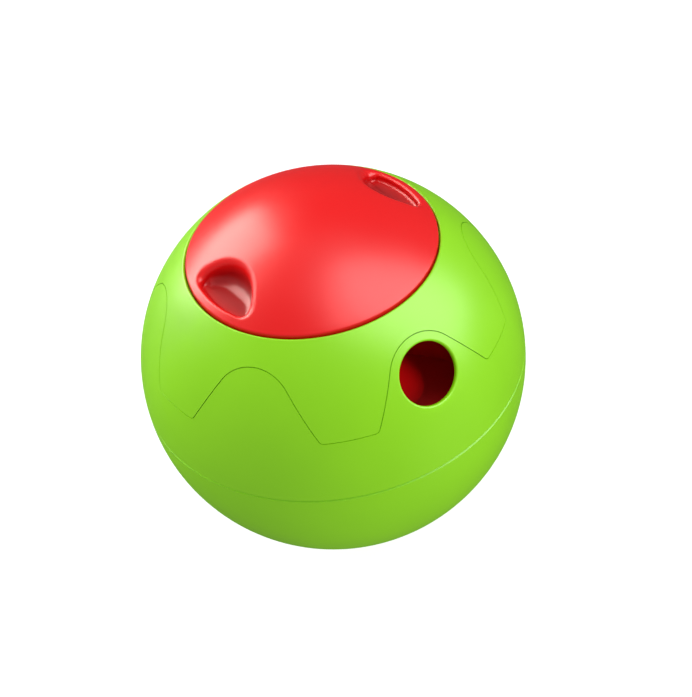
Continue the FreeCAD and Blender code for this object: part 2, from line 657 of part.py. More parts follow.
# The deck: the floor of the upper half, which carries the column, the drum and the gear train.
def deck_plate():
    owner, disc = turned("deck_body", tube(0, "deck_r", 0, "deck_t"))
    ring = circles(sketch_on(owner, "XY_Plane", height="deck_t"), (0, 0, "washer_in - 0.2"), (0, 0, "washer_out + 0.6"))
    land = feature(owner, "Pad", ring, Length=value("land_t"))
    land.setExpression("Length", tied("land_t"))
    bosses = []
    holes = []
    for number in range(4):
        turn = number*90
        x = "base_screw_at*cos(%g)" % turn
        y = "base_screw_at*sin(%g)" % turn
        bosses.append(rod("deck_boss", "deck_boss_r", 0, "boss_z", x, y))
        holes.append(rod("deck_pilot", "screw_r", -1, "boss_z - 1", x, y))
    for number in range(TONGUES):
        turn = number*360/TONGUES
        x = "deck_screw_at*cos(%g)" % turn
        y = "deck_screw_at*sin(%g)" % turn
        holes.append(rod("deck_screw_hole", "screw_r + hole_play", -1, "deck_t + 1", x, y))
    for number in range(3):
        turn = 60 + number*120
        x = "post_at*cos(%g)" % turn
        y = "post_at*sin(%g)" % turn
        holes.append(rod("deck_column_hole", "screw_r + hole_play", -1, "deck_t + 1", x, y))
    holes.append(rod("deck_wire_hole", "4", -1, "deck_t + 1"))
    holes.append(rod("deck_bush_hole", "drive_shaft_r + fit + bush_wall", -1, "deck_t + 1", "drive_x", "drive_y"))
    for x, y in (("second_x", "second_y"), ("first_x", "first_y")):
        holes.append(rod("deck_pin_seat", "pin_r", -1, "pin_seat", x, y))
    for x, y in box_ears():
        bosses.append(rod("deck_ear_boss", "small_head_r + 1", 0, "deck_t + 1.8", x, y))
        holes.append(rod("deck_ear_pilot", "small_r", -1, "deck_t + 1", x, y))
    for x, y in board_posts():
        bosses.append(rod("deck_board_post", "2.4", -BOARD_STANDOFF, 0.5, x, y))
        holes.append(rod("deck_board_pilot", "small_r", -BOARD_STANDOFF - 1, 1.5, x, y))
    bosses.append(rod("deck_sensor_seat", "3", 0, "deck_t + 0.4", "0 - magnet_at", 0))
    finish(cut("deck_plate", fuse("deck_joined", owner, *bosses), *holes), "deck_plate")


def box_ears():
    """Three screw ears just outside the gearbox wall."""
    out = "big_tip + wheel_gap + box_wall + ear_r*0.6"
    ears = []
    for x, y, turn in (("drive_x", "drive_y", -60), ("second_x", "second_y", 5), ("first_x", "first_y", 50)):
        ears.append(("(%s) + (%s)*cos(%g)" % (x, out, turn), "(%s) + (%s)*sin(%g)" % (y, out, turn)))
    return ears


def board_posts():
    """Two posts for the main board."""
    return [("0 - 40", "16"), ("0 - 40", "0 - 16")]


# The gearbox cover: a tray whose wall follows the wheels, with seats for the pins and the shaft.
def gearbox_cover():
    wells = (("drive_x", "drive_y", "big_tip"), ("second_x", "second_y", "big_tip"),
             ("first_x", "first_y", "big_tip"), ("motor_x", "motor_y", "motor_r - wheel_gap"))
    outer = [rod("box_outer", "(%s) + wheel_gap + box_wall" % tip, "box_under", 0, x, y) for x, y, tip in wells]
    outer += [rod("box_ear", "ear_r", "0 - 3", 0, x, y) for x, y in box_ears()]
    inner = [rod("box_inner", "(%s) + wheel_gap" % tip, "box_low", 1, x, y) for x, y, tip in wells]
    seats = [rod("box_pin_boss", "pin_r + 1.6", "box_under", "layer_c - 0.4", "first_x", "first_y")]
    seats.append(rod("box_pin_boss", "pin_r + 1.6", "box_under", "layer_b - 0.4", "second_x", "second_y"))
    seats.append(rod("box_bush_boss", "drive_shaft_r + fit + bush_wall + 1.4", "box_under", "layer_b - 0.6", "drive_x", "drive_y"))
    holes = [rod("box_pin_seat", "pin_r", "box_under + 0.8", 1, x, y) for x, y in (("first_x", "first_y"), ("second_x", "second_y"))]
    holes.append(rod("box_bush_seat", "drive_shaft_r + fit + bush_wall", "box_under + 1", 1, "drive_x", "drive_y"))
    holes.append(rod("box_motor_hole", "3", "box_under - 1", 1, "motor_x", "motor_y"))
    holes += [rod("box_screw_hole", "small_r + hole_play", "0 - 4", 1, x, y) for x, y in box_ears()]
    for x, y in motor_screw_places():
        holes.append(rod("box_motor_screw_hole", "small_r + hole_play", "box_under - 1", "box_low + 1", x, y))
    tray = cut("box_tray", fuse("box_solid", *outer), *inner)
    finish(cut("gearbox_cover", fuse("box_joined", tray, *seats), *holes), "gearbox_cover")


def motor_screw_places():
    places = []
    for side in (-1, 1):
        turn = "motor_angle + 90"
        x = "motor_x + %d*motor_screw_at*cos(%s)" % (side, turn)
        y = "motor_y + %d*motor_screw_at*sin(%s)" % (side, turn)
        places.append((x, y))
    return places


def loose_screws(name, radius, head_radius, head_height, places, head_z, tip_z):
    """Screws at separate places, as one group."""
    parts = []
    down = value(tip_z) < value(head_z)
    for x, y in places:
        if down:
            head = rod(name + "_head", head_radius, head_z, "(%s) + (%s)" % (head_z, head_height), x, y)
            shank = rod(name + "_shank", radius, tip_z, "(%s) + 0.1" % head_z, x, y)
            low, high = "(%s) + (%s)*0.4" % (head_z, head_height), "(%s) + (%s) + 1" % (head_z, head_height)
        else:
            head = rod(name + "_head", head_radius, "(%s) - (%s)" % (head_z, head_height), head_z, x, y)
            shank = rod(name + "_shank", radius, "(%s) - 0.1" % head_z, tip_z, x, y)
            low, high = "(%s) - (%s) - 1" % (head_z, head_height), "(%s) - (%s)*0.4" % (head_z, head_height)
        arm = "(%s)*1.2" % head_radius
        thin = "(%s)*0.32" % head_radius
        slots = [bar(name + "_slot", length, width, low, high, "(%s) - (%s)/2" % (x, length), y)
                 for length, width in ((arm, thin), (thin, arm))]
        parts.append(cut(name + "_one", fuse(name + "_solid", head, shank), *slots))
    finish(group(name, *parts), name)


# The drum: six pods that open outwards, on a hub that turns round the column.
def treat_drum():
    owner = body("drum_body")
    reach = "sqrt(drum_r^2 - (%s)^2)"
    corners = [("hub_r", "drum_z"), (reach % "drum_z", "drum_z"), (reach % "drum_top", "drum_top"),
               ("hub_r + hub_wall", "drum_top"), ("hub_r + hub_wall", "hub_top"), ("hub_r", "hub_top")]
    sketch = outline(sketch_on(owner, "XZ_Plane"), corners, {1: (0, 0, "drum_r")})
    feature(owner, "Revolution", sketch, ReferenceAxis=(sketch, ["V_Axis"]), Angle=360)
    touch_x = "pod_at - pod_r*sin(30)"
    touch_y = "pod_r*cos(30)"
    far = "ball_r + 5"
    far_y = "(%s) + ((%s) - (%s))*tan(30)" % (touch_y, far, touch_x)
    pod = sketch_on(owner, "XY_Plane", height="drum_top")
    outline(pod, [(touch_x, touch_y), (touch_x, "-(%s)" % touch_y), (far, "-(%s)" % far_y), (far, far_y)],
            {0: ("pod_at", 0, "pod_r")})
    depth = "drum_top - drum_z - drum_floor"
    pocket = feature(owner, "Pocket", pod, Length=value(depth))
    pocket.setExpression("Length", tied(depth))
    repeat(owner, [pocket], TONGUES)
    return owner


def drum_parts():
    whole = treat_drum()
    cores = []
    ring_in = "hub_r + hub_wall"
    for number in range(TONGUES):
        turn = 30 + number*360/TONGUES
        block = sector("drum_core", "pod_at*cos(30)", "drum_z + drum_floor", "drum_top + 1", "%g - 30" % turn, 60)
        walls = [rod("drum_core_wall", "pod_r + pod_wall", "drum_z", "drum_top + 2", "pod_at*cos(%g)" % side, "pod_at*sin(%g)" % side)
                 for side in (turn - 30, turn + 30)]
        hub = rod("drum_core_hub", ring_in, "drum_z", "drum_top + 2")
        cores.append(cut("drum_core_cut", block, hub, *walls))
    bosses = []
    seats = []
    for number in range(TONGUES):
        turn = 30 + number*360/TONGUES
        x = "magnet_at*cos(%g)" % turn
        y = "magnet_at*sin(%g)" % turn
        bosses.append(rod("drum_magnet_boss", "magnet_boss", "drum_z - magnet_t - 1", "drum_z + 0.5", x, y))
        seats.append(rod("drum_magnet_seat", "magnet_r", "drum_z - magnet_t - 2", "drum_z - 1", x, y))
    pilots = []
    for number in range(3):
        turn = 30 + number*120
        x = "ring_screw_at*cos(%g)" % turn
        y = "ring_screw_at*sin(%g)" % turn
        pilots.append(rod("drum_pilot", "small_r", "drum_z - 1", "drum_z + 8", x, y))
        bosses.append(rod("drum_pilot_boss", "small_r + 2.3", "drum_z + 1", "drum_z + 9", x, y))
    joined = fuse("drum_joined", cut("drum_cored", whole, *cores), *bosses)
    finish(cut("treat_drum", joined, *seats, *pilots), "treat_drum", DRUM_TURN)
    magnets = []
    for number in range(TONGUES):
        turn = 30 + number*360/TONGUES
        x = "magnet_at*cos(%g)" % turn
        y = "magnet_at*sin(%g)" % turn
        magnets.append(rod("magnet", "magnet_r", "drum_z - magnet_t - 1", "drum_z - 1", x, y))
    finish(group("index_magnets", *magnets), "index_magnets", DRUM_TURN)


# A spur gear's face. Each flank is an involute down to the base circle and radial below it.
def gear_face(module, teeth, tip_share, root_share, backlash):
    pitch = module*teeth/2
    base = pitch*math.cos(math.radians(20))
    tip = pitch + module*tip_share
    root = pitch - module*root_share
    half_pitch = math.pi/(2*teeth) - backlash/(2*pitch)
    involute = math.tan(math.radians(20)) - math.radians(20)

    def flank(radius):
        """The angle from the tooth's middle to its flank."""
        if radius <= base:
            return half_pitch + involute
        lean = math.acos(base/radius)
        return half_pitch + involute - (math.tan(lean) - lean)

    def spot(radius, angle):
        return Vector(radius*math.cos(angle), radius*math.sin(angle), 0)

    start = max(base, root)
    radii = [start + (tip - start)*step/4 for step in range(5)]
    edges = []
    for tooth in range(int(teeth)):
        middle = 2*math.pi*tooth/teeth
        after = middle + 2*math.pi/teeth
        rise = [spot(radius, middle - flank(radius)) for radius in radii]
        fall = [spot(radius, middle + flank(radius)) for radius in reversed(radii)]
        low_fall = spot(root, middle + flank(root))
        low_next = spot(root, after - flank(root))
        for points in (rise, fall):
            curve = Part.BSplineCurve()
            curve.interpolate(points)
            edges.append(curve.toShape())
        edges.append(Part.Arc(rise[-1], spot(tip, middle), fall[0]).toShape())
        if root < base:
            edges.append(Part.LineSegment(fall[-1], low_fall).toShape())
            edges.append(Part.LineSegment(low_next, spot(start, after - flank(start))).toShape())
        edges.append(Part.Arc(low_fall, spot(root, (middle + after)/2), low_next).toShape())
    return Part.Face(Part.Wire(Part.__sortEdges__(edges)))


def wheel(module, teeth, bore, low, high):
    shares = [value(name) for name in ("tip_share", "root_share", "backlash")]
    face = gear_face(value(module), value(teeth), *shares)
    face.translate(Vector(0, 0, value(low)))
    solid = face.extrude(Vector(0, 0, value(high) - value(low)))
    return solid.cut(Part.makeCylinder(value(bore), 50, Vector(0, 0, value(low) - 10)))


def gear_piece(name, shape, x, y, turn):
    item = doc.addObject("Part::Feature", name)
    item.Shape = shape
    item.Placement = Placement(Vector(value(x), value(y), value("centre_height")), Rotation(Vector(0, 0, 1), turn))
    item.Label = name
    pieces.append(item)


def mesh_turn(turn, teeth, direction, next_teeth):
    """The turn of the next wheel that puts a gap of it opposite this wheel's tooth."""
    return direction + 180 - 360/next_teeth*((turn - direction)*teeth/360 + 0.5)


# The gear train: ring gear, drive pinion, then three reductions down to the motor's pinion.
def gear_train():
    ring_count = value("ring_teeth")
    drive_count = value("drive_teeth")
    big = value("big_teeth")
    small = value("small_teeth")
    ring_shape = wheel("ring_module", "ring_teeth", "ring_bore", "ring_z", "drum_z")
    for number in range(3):
        turn = math.radians(30 + number*120)
        centre = Vector(math.cos(turn), math.sin(turn), 0)*value("ring_screw_at")
        centre.z = value("ring_z") - 1
        sink = Part.makeCylinder(value("small_head_r + 0.2"), 1 + value("small_head_t") + 0.2, centre)
        hole = Part.makeCylinder(value("small_r + hole_play"), 20, centre)
        ring_shape = ring_shape.cut([sink, hole])
    gear_piece("ring_gear", ring_shape, 0, 0, DRUM_TURN)
    direction = value("drive_angle")
    drive_turn = mesh_turn(DRUM_TURN, ring_count, direction, drive_count)
    pinion = wheel("ring_module", "drive_teeth", "drive_shaft_r", "ring_z + 0.3", "drum_z - 0.5")
    gear_piece("drive_pinion", pinion, "drive_x", "drive_y", drive_turn)
    gear_piece("drive_gear", wheel("train_module", "big_teeth", "drive_shaft_r", "layer_a", "layer_a + face_w"), "drive_x", "drive_y", 0)
    second_turn = mesh_turn(0, big, value("second_angle"), small)
    shapes = {}
    for name, high, low in (("second_gear", "layer_a", "layer_b"), ("first_gear", "layer_b", "layer_c")):
        upper = wheel("train_module", "small_teeth", "pin_r + fit", "(%s) + face_w - 0.1" % low, "(%s) + face_w" % high)
        lower = wheel("train_module", "big_teeth", "pin_r + fit", low, "(%s) + face_w" % low)
        shapes[name] = upper.fuse(lower)
    gear_piece("second_gear", shapes["second_gear"], "second_x", "second_y", second_turn)
    first_turn = mesh_turn(second_turn, big, value("first_angle"), small)
    gear_piece("first_gear", shapes["first_gear"], "first_x", "first_y", first_turn)
    motor_turn = mesh_turn(first_turn, big, value("motor_angle"), small)
    pinion = wheel("train_module", "small_teeth", "motor_shaft_r", "layer_c", "layer_c + face_w")
    gear_piece("motor_pinion", pinion, "motor_x", "motor_y", motor_turn)


# Shafts and pins of the train, the two bushes of the drive shaft, and the motor.
def train_hardware():
    shaft = rod("shaft_rod", "drive_shaft_r", "box_under + 1.4", "drum_z - 0.5", "drive_x", "drive_y")
    finish(group("drive_shaft", shaft), "drive_shaft")
    pins = [rod("pin_rod", "pin_r", "box_under + 0.8", "pin_seat", x, y) for x, y in (("second_x", "second_y"), ("first_x", "first_y"))]
    finish(group("gear_pins", *pins), "gear_pins")
    bushes = []
    for low, high in (("0 - train_top + 0.3", "ring_z - 0.3"), ("box_under + 1", "layer_b - 0.3")):
        whole = rod("bush_out", "drive_shaft_r + fit + bush_wall", low, high, "drive_x", "drive_y")
        hollow_rod = rod("bush_in", "drive_shaft_r + fit", "(%s) - 1" % low, "(%s) + 1" % high, "drive_x", "drive_y")
        bushes.append(cut("bush", whole, hollow_rod))
    finish(group("shaft_bushes", *bushes), "shaft_bushes")
    can_low = "box_under - motor_l"
    round_can = rod("motor_round", "motor_r", can_low, "box_under", "motor_x", "motor_y")
    flats = bar("motor_flats", "3*motor_r", "motor_flat", can_low, "box_under", "0 - 1.5*motor_r", 0, "motor_angle")
    place_x = "motor_x - 1.5*motor_r*cos(motor_angle) + motor_flat/2*sin(motor_angle)"
    place_y = "motor_y - 1.5*motor_r*sin(motor_angle) - motor_flat/2*cos(motor_angle)"
    place(flats, (place_x, place_y, can_low), "motor_angle")
    hollow_can = rod("motor_room", "motor_r - 3.4", "(%s) - 1" % can_low, "box_under - 1.2", "motor_x", "motor_y")
    shaft_hole = rod("motor_shaft_hole", "motor_shaft_r + fit", "box_under - 3", "box_under + 1", "motor_x", "motor_y")
    pilots = [rod("motor_pilot", "small_r", "box_under - 3", "box_under + 1", x, y) for x, y in motor_screw_places()]
    finish(cut("motor_can", common("motor_body", round_can, flats), hollow_can, shaft_hole, *pilots), "motor_can")
    cap_disc = rod("motor_cap_disc", "motor_r", "(%s) - motor_cap" % can_low, can_low, "motor_x", "motor_y")
    cap_flats = doc.copyObject(flats)
    bind(cap_flats, Height="motor_cap")
    place(cap_flats, (place_x, place_y, "(%s) - motor_cap" % can_low), "motor_angle")
    cap_hole = rod("motor_cap_hole", "motor_shaft_r + fit", "(%s) - motor_cap - 1" % can_low, "(%s) + 1" % can_low, "motor_x", "motor_y")
    finish(cut("motor_cap", common("motor_cap_body", cap_disc, cap_flats), cap_hole), "motor_cap")
    motor_rod = rod("motor_rod", "motor_shaft_r", "(%s) - motor_cap - 1" % can_low, "layer_c + face_w + 0.4", "motor_x", "motor_y")
    rotor = rod("rotor_core", "motor_r - 4", "(%s) + 4" % can_low, "box_under - 4", "motor_x", "motor_y")
    finish(fuse("motor_rotor_shaft", motor_rod, rotor), "motor_rotor")


# The column in the middle of the drum, with the control panel on top.
def column_parts():
    corners = [("column_in", "deck_t"), ("column_r", "deck_t"), ("column_r", "panel_low"), ("column_in", "panel_low")]
    owner, spin = turned("column_body", corners)
    disc = circles(sketch_on(owner, "XY_Plane", height="deck_t"), (0, 0, "column_in + 0.5"), (0, 0, "5"))
    floor = feature(owner, "Pad", disc, Length=2)
    posts = []
    holes = []
    for number in range(3):
        turn = 60 + number*120
        x = "post_at*cos(%g)" % turn
        y = "post_at*sin(%g)" % turn
        posts.append(rod("column_post", "post_r", "deck_t", "deck_t + 12", x, y))
        holes.append(rod("column_pilot", "screw_r", "deck_t - 1", "deck_t + 10", x, y))
        x = "panel_screw_at*cos(%g)" % turn
        y = "panel_screw_at*sin(%g)" % turn
        posts.append(rod("column_rib", "3.2", "deck_t", "board_z", x, y))
        holes.append(rod("column_rib_pilot", "small_r", "board_z - 10", "board_z + 1", x, y))
    limit = rod("column_limit", "column_r - 0.5", "deck_t", "panel_low")
    inside = common("column_inside", fuse("column_posts", *posts), limit)
    finish(cut("centre_column", fuse("column_joined", owner, inside), *holes), "centre_column")
    screws("column_screws", "screw_r", "head_r", "head_t", "0 - head_t", "deck_t + 8", "post_at", 3, 60)

    flange = "panel_high - 0.9"
    corners = [("button_r + button_fit", "panel_low"), ("column_in - 0.3", "panel_low"), ("column_in - 0.3", "panel_low"),
               ("panel_r", "panel_low"), ("panel_r", flange), ("panel_r - 0.9", "panel_high"), ("button_r + button_fit", "panel_high")]
    corners.pop(2)
    panel, panel_spin = turned("panel_body", corners)
    holes = []
    for number in range(4):
        turn = 45 + number*90
        x = "led_at*cos(%g)" % turn
        y = "led_at*sin(%g)" % turn
        holes.append(rod("panel_led_hole", "led_r + 0.1", "panel_low - 1", "panel_high + 1", x, y))
    for number in range(3):
        turn = 60 + number*120
        x = "panel_screw_at*cos(%g)" % turn
        y = "panel_screw_at*sin(%g)" % turn
        holes.append(rod("panel_screw_hole", "small_r + hole_play", "board_z", "panel_high + 1", x, y))
        holes.append(rod("panel_counterbore", "small_head_r + 0.2", "panel_high - small_head_t", "panel_high + 1", x, y))
    finish(cut("control_panel", panel, *holes), "control_panel")
    places = [("panel_screw_at*cos(%g)" % turn, "panel_screw_at*sin(%g)" % turn) for turn in (60, 180, 300)]
    loose_screws("panel_screws", "small_r", "small_head_r", "small_head_t", places, "panel_high - small_head_t", "board_z - 5")

    board = rod("board_disc", "column_in - 0.3", "board_z", "board_z + board_t")
    board_holes = [rod("board_hole", "small_r + 0.1", "board_z - 1", "board_z + 3", x, y) for x, y in places]
    finish(cut("control_board", board, *board_holes), "control_board")
    spacers = []
    for x, y in places:
        post = rod("spacer_out", "small_r + 1.2", "board_z + board_t", "panel_low", x, y)
        bore = rod("spacer_in", "small_r + 0.15", "board_z", "panel_low + 1", x, y)
        spacers.append(cut("spacer", post, bore))
    finish(group("panel_spacers", *spacers), "panel_spacers")
    lights = []
    for number in range(4):
        turn = 45 + number*90
        x = "led_at*cos(%g)" % turn
        y = "led_at*sin(%g)" % turn
        base = rod("led_base", "led_r + 0.4", "board_z + board_t", "board_z + board_t + 1", x, y)
        stem = rod("led_stem", "led_r", "board_z + board_t", "panel_high", x, y)
        dome = made("Sphere", "led_dome", (x, y, "panel_high"), Radius="led_r")
        lights.append(fuse("led", base, stem, dome))
    finish(group("indicator_lights", *lights), "indicator_lights")
    switch_low = "board_z + board_t"
    switch = bar("switch_case", 6, 6, switch_low, "%s + switch_h - 0.4" % switch_low, -3)
    plunger = rod("switch_plunger", 1.7, "%s + 2" % switch_low, "%s + switch_h" % switch_low)
    finish(fuse("mode_switch", switch, plunger), "mode_switch")
    top = "panel_high + button_stand"
    wide = "button_r + button_flange"
    corners = [(0, "flange_low"), (wide, "flange_low"), (wide, "flange_low + button_flange"), ("button_r", "flange_low + button_flange"),
               ("button_r", "(%s) - 0.8" % top), ("button_r - 0.8", top), (0, top)]
    cap, cap_spin = turned("button_body", corners)
    finish(cap, "mode_button")


# The lid: the outer cap with its finger recesses and lugs.
def lid_cover():
    solid = common("lid_solid", ball("lid_ball", "ball_r"), rod("lid_disc", "lid_r", "lug_low", "ball_r + 5"))
    room = ball("lid_room_ball", "ball_r - lid_wall")
    inside = common("lid_inside", room, rod("lid_inside_disc", "skirt_in", "lug_low - 1", "ball_r + 5"))
    ring_room, ring_spin = turned("lid_ring_room", tube("skirt_r", "rim_in", "lug_low - 1", "ball_r"))
    between = common("lid_between", room, ring_room)
    under, under_spin = turned("lid_under", tube("skirt_r", "ball_r", "lug_low - 1", "lid_low"))
    shell = cut("lid_shell", solid, inside, between, under)
    lugs = [sector("lid_lug", "lug_r", "lug_low", "lug_high", "%g - lug_span/2" % (FIRST_LUG + number*360/LUGS), "lug_span")
            for number in range(LUGS)]
    lug_ring = cut("lid_lugs", fuse("lid_lug_disc", *lugs), rod("lid_lug_bore", "skirt_r - skirt_wall/2", "lug_low - 1", "lug_high + 1"))
    boss = rod("lid_boss", "boss_r", "boss_low", "ball_r")
    low = "recess_z - recess_wall"
    bulk = rod("recess_bulk", "recess_r + recess_wall", low, "ball_r", "recess_at")
    limit = rod("recess_bulk_limit", "rim_in + 0.3", low, "ball_r")
    pod = common("recess_body", bulk, limit)
    scoop = rod("recess_scoop", "recess_r", "recess_z", "ball_r + 5", "recess_at")
    front = rod("recess_front", "lip_r", "recess_z", "ball_r + 5", 0, 0, 180)
    corner = rounded("recess_corners", common("recess_tool", scoop, front), value("recess_corner"), upright_edge)
    pocket = rounded("recess_coves", corner, value("recess_cove"), level_edge(value("recess_z")))
    pods = [pod, place(group("recess_body_back", pod), turn=180)]
    pockets = [pocket, place(group("recess_back", pocket), turn=180)]
    added = common("lid_added", fuse("lid_additions", boss, *pods), ball("lid_add_limit", "ball_r - lid_wall/2"))
    joined = fuse("lid_joined", shell, lug_ring, added)
    bore = rod("lid_bore", "screw_r", "boss_low - 1", "boss_low + pivot_thread + 1")
    pocketed = cut("lid_pocketed", joined, bore, *pockets)
    edge_height = value("sqrt(ball_r^2 - lid_r^2)")
    rim = rounded("lid_rim", pocketed, value("lid_round"), ring_edge(value("lid_r"), edge_height))
    finish(rounded("lid_cover", rim, value("recess_round"), recess_edge), "lid_cover")


def upright_edge(edge):
    box = edge.BoundBox
    return box.ZLength > 5 and box.XLength < 0.01 and box.YLength < 0.01


def level_edge(height):
    def test(edge):
        box = edge.BoundBox
        return abs(box.ZMin - height) < 0.01 and abs(box.ZMax - height) < 0.01
    return test


def recess_edge(edge):
    """A test for the edges where a recess meets the outside of the ball."""
    if edge.Degenerated:
        return False
    span = edge.LastParameter - edge.FirstParameter
    spots = [edge.valueAt(edge.FirstParameter + span*share) for share in (0.2, 0.5, 0.8)]
    on_ball = all(abs(spot.Length - value("ball_r")) < 0.02 for spot in spots)
    inside = all(math.hypot(spot.x, spot.y) < value("lip_r + 0.5") for spot in spots)
    return on_ball and inside and abs(spots[1].x) > value("recess_at - recess_r - 1")


# The liner that closes the pods from above. Its keys hold it still while the cap turns on it.
def lid_liner():
    corners = [("pivot_r + pivot_fit", "web_low"), ("pivot_head_r + rest_gap", "web_low"), ("pivot_head_r + rest_gap", "liner_low"),
               ("skirt_r", "liner_low"), ("skirt_r", "liner_high"), ("liner_hub_r", "liner_high"),
               ("liner_hub_r", "hub_high"), ("pivot_r + pivot_fit", "hub_high")]
    owner, spin = turned("liner_body", corners)
    keys = []
    for number in range(LUGS):
        turn = "%g + key_shift" % (FIRST_LUG + number*360/LUGS)
        inner = "skirt_r + rest_gap"
        keys.append(bar("liner_key", "key_t - rest_gap + skirt_gap", "key_w", "liner_low", "seat_z - rest_gap", inner, 0, turn))
        keys.append(bar("liner_tab", "key_t + 2", "key_w", "liner_low", "liner_high", "skirt_r - 2", 0, turn))
    finish(fuse("lid_liner", owner, *keys), "lid_liner")
    corners = [(0, "head_low"), ("pivot_head_r", "head_low"), ("pivot_head_r", "head_high"), ("pivot_r", "head_high"),
               ("pivot_r", "boss_low"), ("screw_r", "boss_low"), ("screw_r", "boss_low + pivot_thread"), (0, "boss_low + pivot_thread")]
    screw, screw_spin = turned("pivot_body", corners)
    slot = bar("pivot_slot", "1.4*pivot_head_r", 1.2, "head_low - 1", "head_low + 0.9", "0 - 0.7*pivot_head_r")
    cross = bar("pivot_cross", 1.2, "1.4*pivot_head_r", "head_low - 1", "head_low + 0.9", "0 - 0.6")
    finish(cut("lid_pivot_screw", screw, slot, cross), "lid_pivot_screw")


# Cells, cradle, contacts and springs in the well, and the door under it.
def battery_parts():
    cradle = rod("cradle_rod", "cradle_r", "cradle_low", "well_top")
    bores = [rod("cradle_bore", "cell_r + cell_clear", "cradle_low - 1", "well_top + 1", x) for x in ("cell_at", "0 - cell_at")]
    pilots = [rod("cradle_pilot", "screw_r + 0.3", "cradle_low - 1", "cradle_low + 10", 0, y) for y in ("door_screw_at", "0 - door_screw_at")]
    lighten = [rod("cradle_core", "4.2", "cradle_low + 14", "well_top + 1", 0, y) for y in ("door_screw_at - 2.5", "2.5 - door_screw_at")]
    finish(cut("cell_cradle", cradle, *bores, *pilots, *lighten), "cell_cradle")
    upright = fuse("cell_one", rod("cell_can", "cell_r", "bridge_high + spring_l", "bridge_high + spring_l + cell_l", "cell_at"),
                   rod("cell_stud", "stud_r", "bridge_high + spring_l + cell_l", "top_plate", "cell_at"))
    turned_over = fuse("cell_two", rod("cell_can", "cell_r", "bridge_high + stud_t", "bridge_high + stud_t + cell_l", "0 - cell_at"),
                       rod("cell_stud", "stud_r", "bridge_high", "bridge_high + stud_t", "0 - cell_at"))
    finish(group("battery_cells", upright, turned_over), "battery_cells")
    plates = [rod("contact_plate", "spring_r + 1", "top_plate", "well_top", x) for x in ("cell_at", "0 - cell_at")]
    finish(group("top_contacts", *plates), "top_contacts")
    for name, x, low in (("door_spring", "cell_at", "bridge_high"), ("top_spring", "0 - cell_at", "top_plate - spring_l")):
        outer = rod(name + "_out", "spring_r", low, "(%s) + spring_l" % low, x)
        inner = rod(name + "_in", "spring_r - spring_wire", "(%s) - 1" % low, "(%s) + spring_l + 1" % low, x)
        finish(cut(name, outer, inner), name)
    bridge = bar("bridge_bar", "2*cell_at + 10", 9, "bridge_low", "bridge_high", "0 - cell_at - 5")
    finish(group("bridge_contact", bridge), "bridge_contact")
    corners = [(0, "door_low"), ("door_r - 0.8", "door_low"), ("door_r", "door_low + 0.8"), ("door_r", "door_high"),
               ("step_r", "door_high"), ("step_r", "bridge_low"), (0, "bridge_low")]
    owner, spin = turned("door_body", corners)
    grips = [bar("door_grip", 14, "grip_w", "door_low - 1", "door_low + 1.2", -7, y) for y in ("0 - 8", "0", "8")]
    sinks = [rod("door_sink", "head_r + head_play", "door_low - 1", "door_low + head_t", 0, y) for y in ("door_screw_at", "0 - door_screw_at")]
    holes = [rod("door_screw_hole", "screw_r", "door_low - 1", "bridge_high", 0, y) for y in ("door_screw_at", "0 - door_screw_at")]
    finish(cut("battery_door", owner, *grips, *sinks, *holes), "battery_door")
    screws("door_screws", "screw_r", "head_r", "head_t", "door_low", "cradle_low + 8", "door_screw_at", 2, 90)
    seal, seal_spin = turned("seal_body", tube("well_r - 0.7", "door_r", "door_high", "shoulder_z"))
    finish(seal, "door_seal")


# Boards, sensor and sounder on the deck.
def electronics():
    low = -BOARD_STANDOFF
    plate = bar("main_board_plate", 22, 44, "%g - board_t" % low, low, -51)
    holes = [rod("main_board_hole", "small_r + 0.1", "%g - board_t - 1" % low, low + 1, x, y) for x, y in board_posts()]
    chip = bar("main_board_chip", 9, 9, "%g - board_t - 1.4" % low, "%g - board_t" % low, -46)
    socket = bar("main_board_socket", 5, 12, "%g - board_t - 5" % low, "%g - board_t" % low, -50, 13)
    finish(cut("main_board", fuse("main_board_solid", plate, chip, socket), *holes), "main_board")
    loose_screws("board_screws", "small_r", "small_head_r", "small_head_t", board_posts(), "%g - board_t" % low, 1)
    seat = "deck_t + 0.4"
    finish(group("index_sensor", bar("sensor_case", 4, 3.2, seat, "%s + 1.5" % seat, "0 - magnet_at - 2")), "index_sensor")
    case = rod("sounder_case", 11, -5.5, 0, -20, -45)
    vent = rod("sounder_vent", 1.5, -6, -4, -20, -45)
    finish(cut("sounder", case, vent), "sounder")


def fasteners():
    screws("deck_screws", "screw_r", "head_r", "head_t", "0 - head_t", "boss_z - 2", "deck_screw_at", TONGUES)
    screws("base_screws", "screw_r", "head_r", "head_t", "base_web_z - head_t", "boss_z - 2", "base_screw_at", 4)
    screws("ring_screws", "small_r", "small_head_r", "small_head_t", "ring_z + 0.2", "drum_z + 7", "ring_screw_at", 3, 30 + DRUM_TURN)
    loose_screws("gearbox_screws", "small_r", "small_head_r", "small_head_t", box_ears(), "0 - 3", "deck_t + 0.5")
    loose_screws("motor_screws", "small_r", "small_head_r", "0.6", motor_screw_places(), "box_low", "box_under - 1.1")
    washer, washer_spin = turned("washer_body", tube("washer_in", "washer_out", "land_z", "land_z + washer_t"))
    finish(washer, "thrust_washer")


top_shell()
side_shell()
base_shell()
lid_cover()
lid_liner()
drum_parts()
gear_train()
train_hardware()
deck_plate()
gearbox_cover()
column_parts()
battery_parts()
electronics()
fasteners()
doc.recompute()

faults = []
for item in doc.Objects:
    if any(word in item.State for word in ("Invalid", "Error")):
        faults.append("%s %s" % (item.Label, item.State))
for item in pieces:
    if item.Shape.isNull() or not item.Shape.isValid() or not item.Shape.Solids:
        faults.append(item.Label + " has no sound solid")
if faults:
    raise RuntimeError("; ".join(faults))

